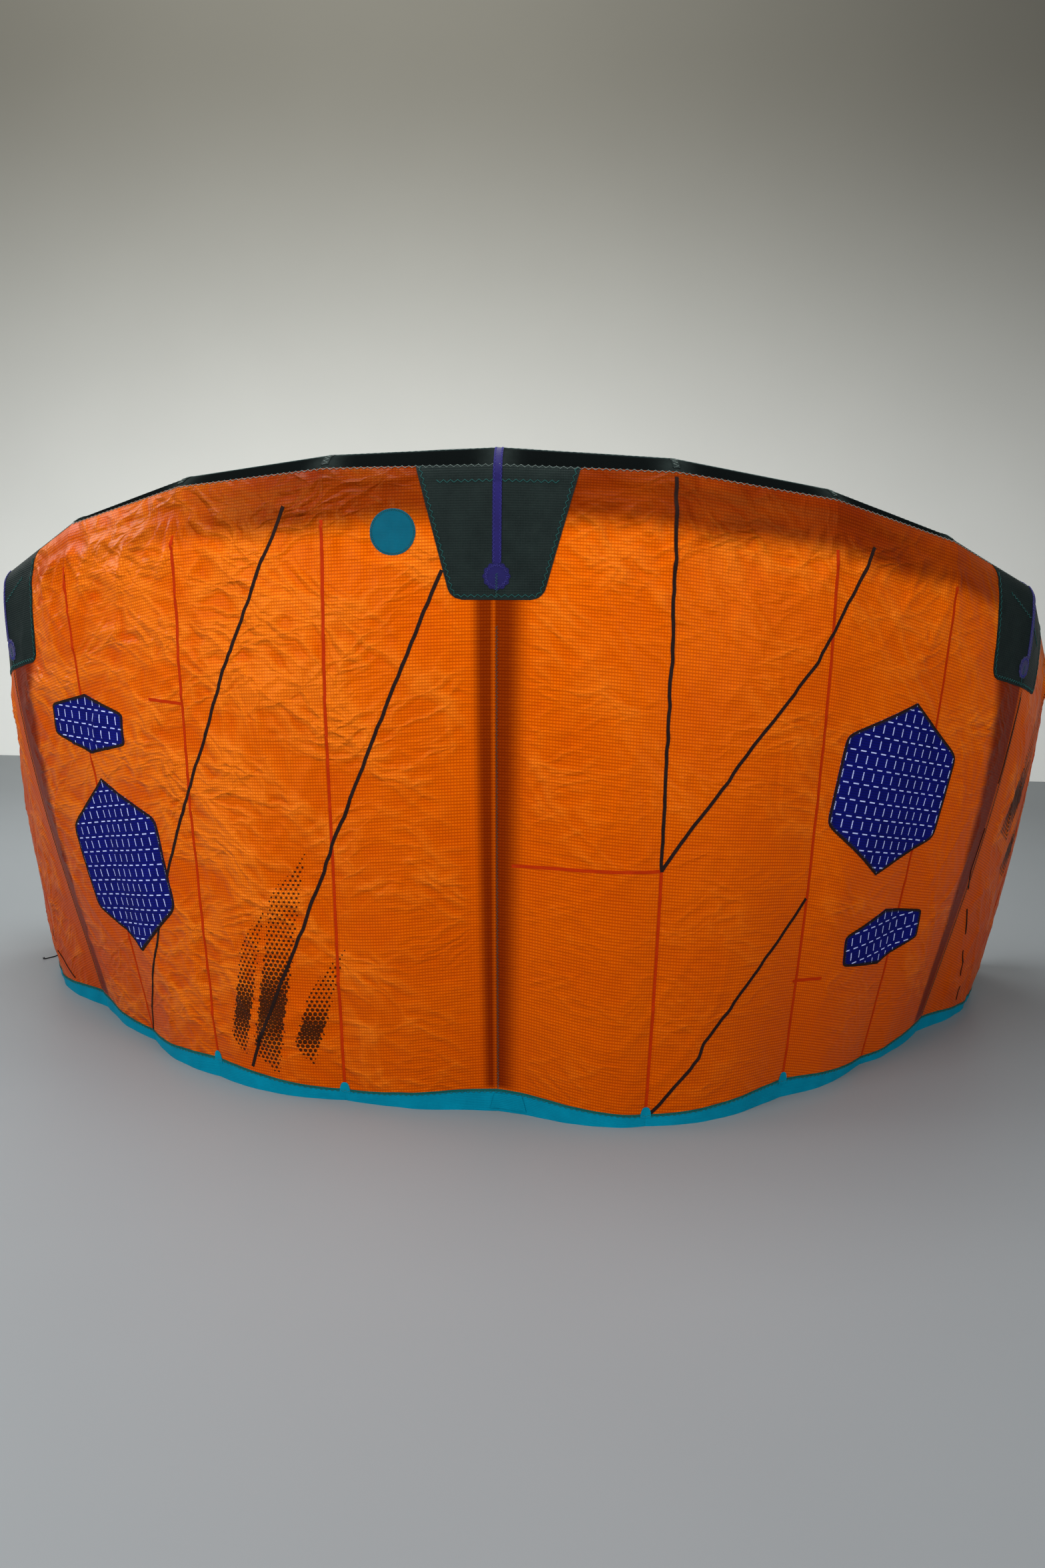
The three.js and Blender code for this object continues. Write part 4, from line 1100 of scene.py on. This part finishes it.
roundLabel = {"seam": -0.59, "height": 1398, "radius": 53, "stitched": 49.5}
labelFrame = frameAt(roundLabel["seam"], roundLabel["height"])
label = roundPiece(
    "round_label_cloth", labelFrame, lambda angle: roundLabel["radius"] + 0 * angle,
    lift["low"], lift["lowTop"], "label", "label", "round_label", rings=12,
)

# Seam, height, width, tallness and turn of each applique.
hexagons = {
    "left_large": (-2.84, 530, 420, 480, 8), "left_small": (-2.97, 908, 330, 160, -4),
    "right_large": (2.69, 796, 430, 450, -8), "right_small": (2.84, 393, 330, 160, 6),
}


def hexagonReach(angle, width, tall):
    # how far a six-sided outline lies from its middle: the nearest of its sides, corners rounded
    w, t = width / 2, tall / 2
    slant = unit(np.array([t / 2, w]))
    c, s = np.abs(np.cos(angle)), np.abs(np.sin(angle))
    sides = np.stack([w / np.maximum(c, 1e-6), slant[1] * t / (slant[0] * c + slant[1] * s)])
    return (sides**-26.0).sum(0) ** (-1 / 26.0)


appliques, appliqueFrames = {}, {}
for name, (seam, height, width, tall, turn) in hexagons.items():
    appliqueFrames[name] = frameAt(seam, height, turn)
    appliques[name] = roundPiece(
        f"applique_cloth_{name}", appliqueFrames[name], lambda angle: hexagonReach(angle, width, tall),
        lift["low"], lift["lowTop"], "applique", "applique", f"applique_{name}", steps=200, rings=36,
    )
print("patches and appliques made")

def downAt(place, height):
    # how far down the sheet a height above the floor lies
    marks = np.linspace(canopyEdge, floorLine, 160)
    heights = lambda at: -sheetPoint(np.full(len(marks), at), marks)[:, 2]
    return np.array([np.interp(-wanted, heights(at), marks) for at, wanted in zip(place, height)])


def evenly(place, down, step):
    # the same line with its points a step apart
    far = lengthAlong(sheetPoint(place, down))
    marks = np.linspace(0, far[-1], max(int(round(far[-1] / step)) + 1, 2))
    return np.interp(marks, far, place), np.interp(marks, far, down)


def pathThrough(points, step=6.0, wander=0.0, seed=1):
    # a line on the sheet through seams and heights, divided evenly, wandering a little sideways
    seam, height = np.array(points, float).T
    place, down = seam + middleSeam, downAt(seam + middleSeam, height)
    fine = np.linspace(0, len(points) - 1, 60 * (len(points) - 1) + 1)
    place, down = (np.interp(fine, np.arange(len(points)), value) for value in (place, down))
    place, down = evenly(place, down, step)
    if wander:
        run = np.arange(len(place)) * step
        swerve = softNoise(run / 70, run * 0, seed) + softNoise(run / 26, run * 0, seed + 1) - 1
        place = place + wander / baySpan * swerve
    return place, down


def beside(place, down, distance):
    # the line moved sideways along the sheet, to the right of its own direction
    points, normal = onSheet(place, down)
    side = unit(np.cross(unit(np.gradient(points, axis=0)), normal))
    return moveOnSheet(place, down, side * np.broadcast_to(distance, place.shape)[:, None])


def ribbon(place, down, width, low, high):
    # a flat tape along a line: three points across at each of two lifts
    shares = np.array([-0.5, 0, 0.5, 0.5, 0, -0.5])
    across = [beside(place, down, width * share) for share in shares[:3]]
    lifts = [low] * 3 + [high] * 3
    rings = np.stack([onSheet(*spot, lifted)[0] for spot, lifted in zip(across + across[::-1], lifts)], 1)
    return sweep(rings, clothPlane(shares * width, lengthAlong(rings[:, 1])[:, None]))


# Width, pitch and the thread's radius of each kind of stitching.
stitch = {
    "seam": (5, 8, 0.7), "edge": (6, 16, 0.8), "hem": (5, 14, 0.7), "patch": (6, 15, 0.8),
    "rosette": (5, 6, 0.7), "webbing": (4, 9, 0.6), "label": (4, 5, 0.5), "applique": (5, 7, 0.6),
}


def zigzag(kind, place, down, above):
    # a thread that goes from side to side of a line, twice in each pitch
    width, pitch, thread = stitch[kind]
    place, down = evenly(place, down, pitch / 2)
    swing = sideToSide(len(place), width / 2)
    return tubeAlong(onSheet(*beside(place, down, swing), above + thread)[0], thread, fineThread["sides"])


def flatZigzag(kind, flat, x, y, above):
    # the same along a line drawn in a flat frame
    width, pitch, thread = stitch[kind]
    far = np.concatenate([[0], np.cumsum(np.hypot(np.diff(x), np.diff(y)))])
    marks = np.linspace(0, far[-1], int(2 * far[-1] / pitch))
    x, y = np.interp(marks, far, x), np.interp(marks, far, y)
    slope = unit(np.stack([np.gradient(x), np.gradient(y)], -1))
    swing = sideToSide(len(x), width / 2)
    place, down = placesInFrame(flat, x + slope[:, 1] * swing, y - slope[:, 0] * swing, canopyEdge + 1)
    return tubeAlong(onSheet(place, down, above + thread)[0], thread, fineThread["sides"])


def flatRibbon(flat, x, y, width, low, high):
    # a flat tape along a closed line drawn in a flat frame: its two sides at each of two lifts
    slope = unit(np.stack([np.roll(x, -1) - np.roll(x, 1), np.roll(y, -1) - np.roll(y, 1)], -1))
    rings = []
    for share, lifted in ((-0.5, low), (0.5, low), (0.5, high), (-0.5, high)):
        aside = width * share
        place, down = placesInFrame(flat, x + slope[:, 1] * aside, y - slope[:, 0] * aside)
        rings.append(onSheet(place, down, lifted)[0])
    far = np.concatenate([[0], np.cumsum(np.hypot(np.diff(x), np.diff(y)))])
    return sweep(np.stack(rings, 1), clothPlane(np.array([0, 1, 1, 0]) * width, far[:, None]), True)


seamTape = {
    "red": 8, "black": 8.5, "tips": 6, "low": 1.4, "redTop": 2.4, "blackTop": 2.7,
    "wander": 3.5, "tipsWander": 2.5, "redFrom": 70, "redFromHeight": 634,
}
blackLines = {
    "left_outer": [
        (-1.25, 1454), (-1.47, 1254), (-1.81, 926), (-2, 770), (-2.3, 522), (-2.59, 289), (-3, 30),
    ],
    "left_inner": [(-0.31, 1315), (-0.69, 944), (-1, 658), (-1.22, 447), (-1.59, 131), (-1.66, 62)],
    "right_inner": [(1, 1533), (1, 1480), (1, 1420), (1, 1000), (1, 634)],
    "right_upper": [(2.28, 1393), (1.91, 1121), (1.56, 951), (1, 637)],
    "right_lower": [(2, 539), (1.69, 388), (1.34, 206), (1.31, 169), (1.03, 32)],
}
brokenLines = [
    [(4, 1015), (3.97, 770)], [(3.955, 640), (3.94, 518), (4.03, 452)], [(4.12, 385), (4.25, 297)],
    [(4.31, 240), (4.42, 150)], [(4.47, 112), (4.53, 61)], [(-5, 172), (-4.86, 143)],
    [(-4.76, 122), (-4.44, 59)],
]
redLines = [[(0.09, 636), (1, 636)], [(-2.28, 990), (-2, 985)], [(1.97, 322), (2.22, 318)]]


def blackRibbon(points, width, wander, seed):
    # a black tape through seams and heights
    return ribbon(*pathThrough(points, 5, wander, seed), width, seamTape["low"], seamTape["blackTop"])


def redRibbon(place, down):
    # a red tape along a line on the sheet
    return ribbon(place, down, seamTape["red"], seamTape["low"], seamTape["redTop"])


wholeSpan = np.linspace(0.004, lastSeam - 0.004, 1200)  # from tip to tip


def acrossAt(down):
    # a line across the whole sheet, everywhere the same way down
    return wholeSpan, np.full(len(wholeSpan), float(down))


def downSeam(k, start, stop, steps):
    # a line down a seam from one way down to another
    return np.full(steps, float(k)), np.linspace(start, stop, steps)


for number, (name, points) in enumerate(blackLines.items()):
    parts = [blackRibbon(points, seamTape["black"], seamTape["wander"], 30 + number)]
    trim(f"black_tape_{name}", parts, "tape", "blackTape")
parts = [blackRibbon(points, seamTape["tips"], seamTape["tipsWander"], 50) for points in brokenLines]
trim("black_tape_tips", parts, "tape", "blackTape")

parts = [redRibbon(*pathThrough(points, 8)) for points in redLines]
for k in turnSeams:
    # the first seam to the right is black above, and red only from a height down
    start = seamTape["redFrom"]
    if k == middleSeam + 1:
        start = downAt([k], [seamTape["redFromHeight"]])[0]
    parts.append(redRibbon(*evenly(*downSeam(k, start, canopyFoot - 1, 200), 6)))
trim("seam_tapes", parts, "tape", "redTape")
print("seam tapes made")

for k in strutSeams:
    # the seam's own stitching, on from the rosette's thread to the hem
    start = 330 if k == middleSeam else 300
    thread = zigzag("seam", *downSeam(k, start, canopyFoot - 3, 400), canopy["outer"])
    trim(f"strut_seam_stitches_{bayName(k)}", [thread], "canopy", "greenThread")
edgeStitch = zigzag("edge", *acrossAt(canopyEdge + 3), canopy["outer"])
trim("edge_stitches", [edgeStitch], "tube", "paleThread")
crownStitch = zigzag("edge", *acrossAt(tubeTop + 12), 0.5)
trim("crown_stitches", [crownStitch], "tube", "paleThread")
hemEdge = ribbon(*evenly(*acrossAt(canopyFoot + 2), 9), 6, hem["outer"], hem["outer"] + 0.4)
hemTrims = [trim("hem_edging", [hemEdge], "band", "hemEdge")]

tabSpan = 360  # a bay's width at the hem
hemTab = {"seams": (5, 6, 8, 9), "half": 4, "swell": 10, "below": 12, "tall": 32}
hemSquare = {"aside": 0.07, "half": 44, "narrows": 10, "below": 8, "tall": 30}
trimLow = lift["low"] + 0.6
for k in hemTab["seams"]:
    # a small tab over the end of a seam, rounded at its top
    t = np.linspace(0, 1, 13)[:, None]
    half = hemTab["half"] + hemTab["swell"] * np.sqrt(1 - t**2)
    across = np.linspace(-1, 1, 9)[None] * half / tabSpan
    down = canopyFoot + hemTab["below"] - hemTab["tall"] * t + 0 * across
    tab = clothPiece(f"hem_tab_{bayName(k)}", k + across, down, trimLow, lift["lowTop"] + 0.5)
    hemTrims.append(settle(tab, "band", "band"))
# a folded square just right of the middle seam, narrower at its top
t = np.linspace(0, 1, 25)[:, None]
across = np.linspace(-1, 1, 33)[None] * (hemSquare["half"] - hemSquare["narrows"] * t) / tabSpan
down = canopyFoot + hemSquare["below"] + hemSquare["tall"] * (1 - t) + 0 * across
place = middleSeam + hemSquare["aside"] + across
foldedSquare = clothPiece("hem_folded_square", place, down, trimLow, lift["highTop"])
hemTrims.append(settle(foldedSquare, "band", "band"))
hemThread = zigzag("hem", *acrossAt(canopyFoot + 5), hem["outer"] + 0.2)
hemStitches = trim("hem_stitches", [hemThread], "band", "tealThread")

# A slanting row of stitches on each head patch, from x and y to x and y in its frame.
crossRows = {"left": (-130, -150, 150, -40), "centre": (-150, -36, 150, -36), "right": (-150, -40, 130, -150)}


def patchThread(name, topHalf, footHalf, drop):
    # round the patch's sides and foot, across it in two parts, and down from the rosette
    flat, above, inset = patchFrames[name], lift["lowTop"], 9
    heights = np.linspace(-2, inset - drop, 90)
    side = patchHalf(heights - 0.5, topHalf, footHalf, drop) - inset
    footRow = np.linspace(-side[-1], side[-1], 60)[1:-1]
    x = np.concatenate([-side, footRow, side[::-1]])
    y = np.concatenate([heights, np.full(len(footRow), heights[-1]), heights[::-1]])
    threads = [flatZigzag("patch", flat, x, y, above)]
    x1, y1, x2, y2 = crossRows[name]
    for start in (0.04, 0.53):
        t = np.linspace(start, start + 0.43, 40)
        threads.append(flatZigzag("patch", flat, x1 + (x2 - x1) * t, y1 + (y2 - y1) * t, above))
    below = np.linspace(rosette["aboveFoot"] - drop + 6, 4 - drop, 20)
    return [*threads, flatZigzag("rosette", flat, np.zeros(len(below)), below, lift["highTop"])]


def webbingThread(name, seam, drop):
    # round the rosette inside its scallops, and down both edges of the strip over tube and patch
    flat, middle, place = patchFrames[name], rosette["aboveFoot"] - drop, seam + middleSeam
    turn = np.linspace(0, 2 * np.pi, 140)
    reach = 24 + 1.2 * np.cos(rosette["lobes"] * turn)
    x, y = reach * np.cos(turn), middle + reach * np.sin(turn)
    threads = [flatZigzag("rosette", flat, x, y, lift["highTop"])]
    end = placesInFrame(flat, [0.0], [middle + 30], canopyEdge)[1][0]
    overTube = (tubeTop + 4, canopyEdge - 1, lift["tape"] + webbing["thick"])
    for edge in (-7.5, 7.5):
        for first, last, above in (overTube, (canopyEdge + 1, end, lift["highTop"])):
            run = np.linspace(first, last, 60)
            threads.append(zigzag("webbing", place + edge / spanBeside(place, run, edge), run, above))
    return threads


patchThreads, tapeThreads = [], []
for name, (seam, *sizes) in headPatches.items():
    patchThreads += patchThread(name, *sizes)
    tapeThreads += webbingThread(name, seam, sizes[-1])
turn = np.linspace(0, 2 * np.pi, 160)
x, y = (roundLabel["stitched"] * side for side in (np.cos(turn), np.sin(turn)))
labelThread = flatZigzag("label", labelFrame, x, y, lift["lowTop"])
labelStitches = trim("label_stitches", [labelThread], "label", "tealThread")
patchStitches = trim("patch_stitches", patchThreads, "patch", "tealThread")
webbingStitches = trim("webbing_stitches", tapeThreads, "tape", "blueThread")

edging = {"inset": 3.2, "width": 6.4, "thick": 0.3, "threadInset": 8.0}
edgings, edgeThreads = [], []
for name, (seam, height, width, tall, turn) in hexagons.items():
    flat, angle, above = appliqueFrames[name], wholeTurn(360), lift["lowTop"]
    reach = hexagonReach(angle, width, tall)
    x, y = ((reach - edging["inset"]) * side for side in (np.cos(angle), np.sin(angle)))
    edgings.append(flatRibbon(flat, x, y, edging["width"], above, above + edging["thick"]))
    x, y = ((reach - edging["threadInset"]) * side for side in (np.cos(angle), np.sin(angle)))
    edgeThreads.append(flatZigzag("applique", flat, x, y, above))
appliqueTrims = [
    trim("applique_edgings", edgings, "applique", "blackTape"),
    trim("applique_stitches", edgeThreads, "applique", "blackThread"),
]
print("stitches made")


stage = {"wall": 5.4, "half": 9.0, "height": 8.0, "back": -9.0, "toneFrom": -0.4, "toneTo": 5.2}
# the backdrop's foot and top tones are painted light and painted shade
paintTones = {
    "floor": colour(124, 129, 131), "litWallFoot": colour(246, 248, 242), "shadedWallTop": colour(112, 110, 100),
}


def plainPlane(name, corners, low, high, roughness):
    # a painted plane, its tone softly uneven and changing from its foot to some five metres up; on the
    # backdrop this change is painted light, bright at the foot and painted shade above
    mesh = bpy.data.meshes.new(name)
    mesh.from_pydata(corners, [], [[0, 1, 2, 3]])
    finish, tree, shader = newFinish(name + "_paint", roughness, specular=0.3)
    where = put(tree, "TexCoord", {}, "Object")
    height, start, stop = put(tree, "SeparateXYZ", {0: where}, 2), stage["toneFrom"], stage["toneTo"]
    # painted light and shade: lighter at the foot, darker higher up
    upwards = ramp(tree, height, start, stop, 0.0, 1.0, interpolation_type="SMOOTHSTEP")
    tone, uneven = mixColour(tree, upwards, low, high), noise(tree, where, 1.3, 3.0)
    base = mixColour(tree, uneven, tone, (0.94, 0.94, 0.94, 1), "MULTIPLY")
    tree.links.new(base, shader.inputs["Base Color"])
    mesh.materials.append(finish)
    newObject(name, mesh)


w, h, back, wall = stage["half"], stage["height"], stage["back"], stage["wall"]
floorCorners = [(-w, back, 0), (w, back, 0), (w, wall, 0), (-w, wall, 0)]
wallCorners = [(-w, wall, 0), (w, wall, 0), (w, wall, h), (-w, wall, h)]
plainPlane("floor", floorCorners, paintTones["floor"], paintTones["floor"], 0.5)
plainPlane("backdrop", wallCorners, paintTones["litWallFoot"], paintTones["shadedWallTop"], 0.8)

# Place, aim, size and power of each square light.
lights = {
    "window_light": ((-3.4, -3.9, 2.3), (0.0, 0.1, 0.8), 2.0, 200),
    "ceiling_light": ((0.3, -1.8, 4.0), (0, 0.2, 0), 3.0, 64),
    "side_light": ((3.4, -4.4, 2.4), (0.0, 0.2, 0.8), 2.6, 145),
    "wall_light": ((-1.6, 0.6, 6.6), (-2.2, 5.4, 0.2), 4.5, 430),
    "left_light": ((-4.2, 1.0, 3.0), (-2.2, 0.6, 0.0), 1.6, 46),
    "back_light": ((0.0, 4.0, 2.6), (0.0, 0.2, 2.6), 2.6, 90),
}
for name, (place, aim, size, power) in lights.items():
    data = bpy.data.lights.new(name, "AREA")
    data.size, data.energy = size, power
    away = unit(np.array(place) - np.array(aim))
    side = unit(np.cross([0, 0, 1.0], away))
    newObject(name, data, np.stack([side, np.cross(away, side), away], 1), place)

bpy.context.scene.view_settings.view_transform = "Standard"  # so that strong cloth colours stay strong
world = bpy.data.worlds.new("studio")
world.use_nodes = True
world.node_tree.nodes["Background"].inputs[0].default_value = (0.86, 0.9, 1.0, 1)
world.node_tree.nodes["Background"].inputs[1].default_value = 0.15
bpy.context.scene.world = world
print("stage and lights set")
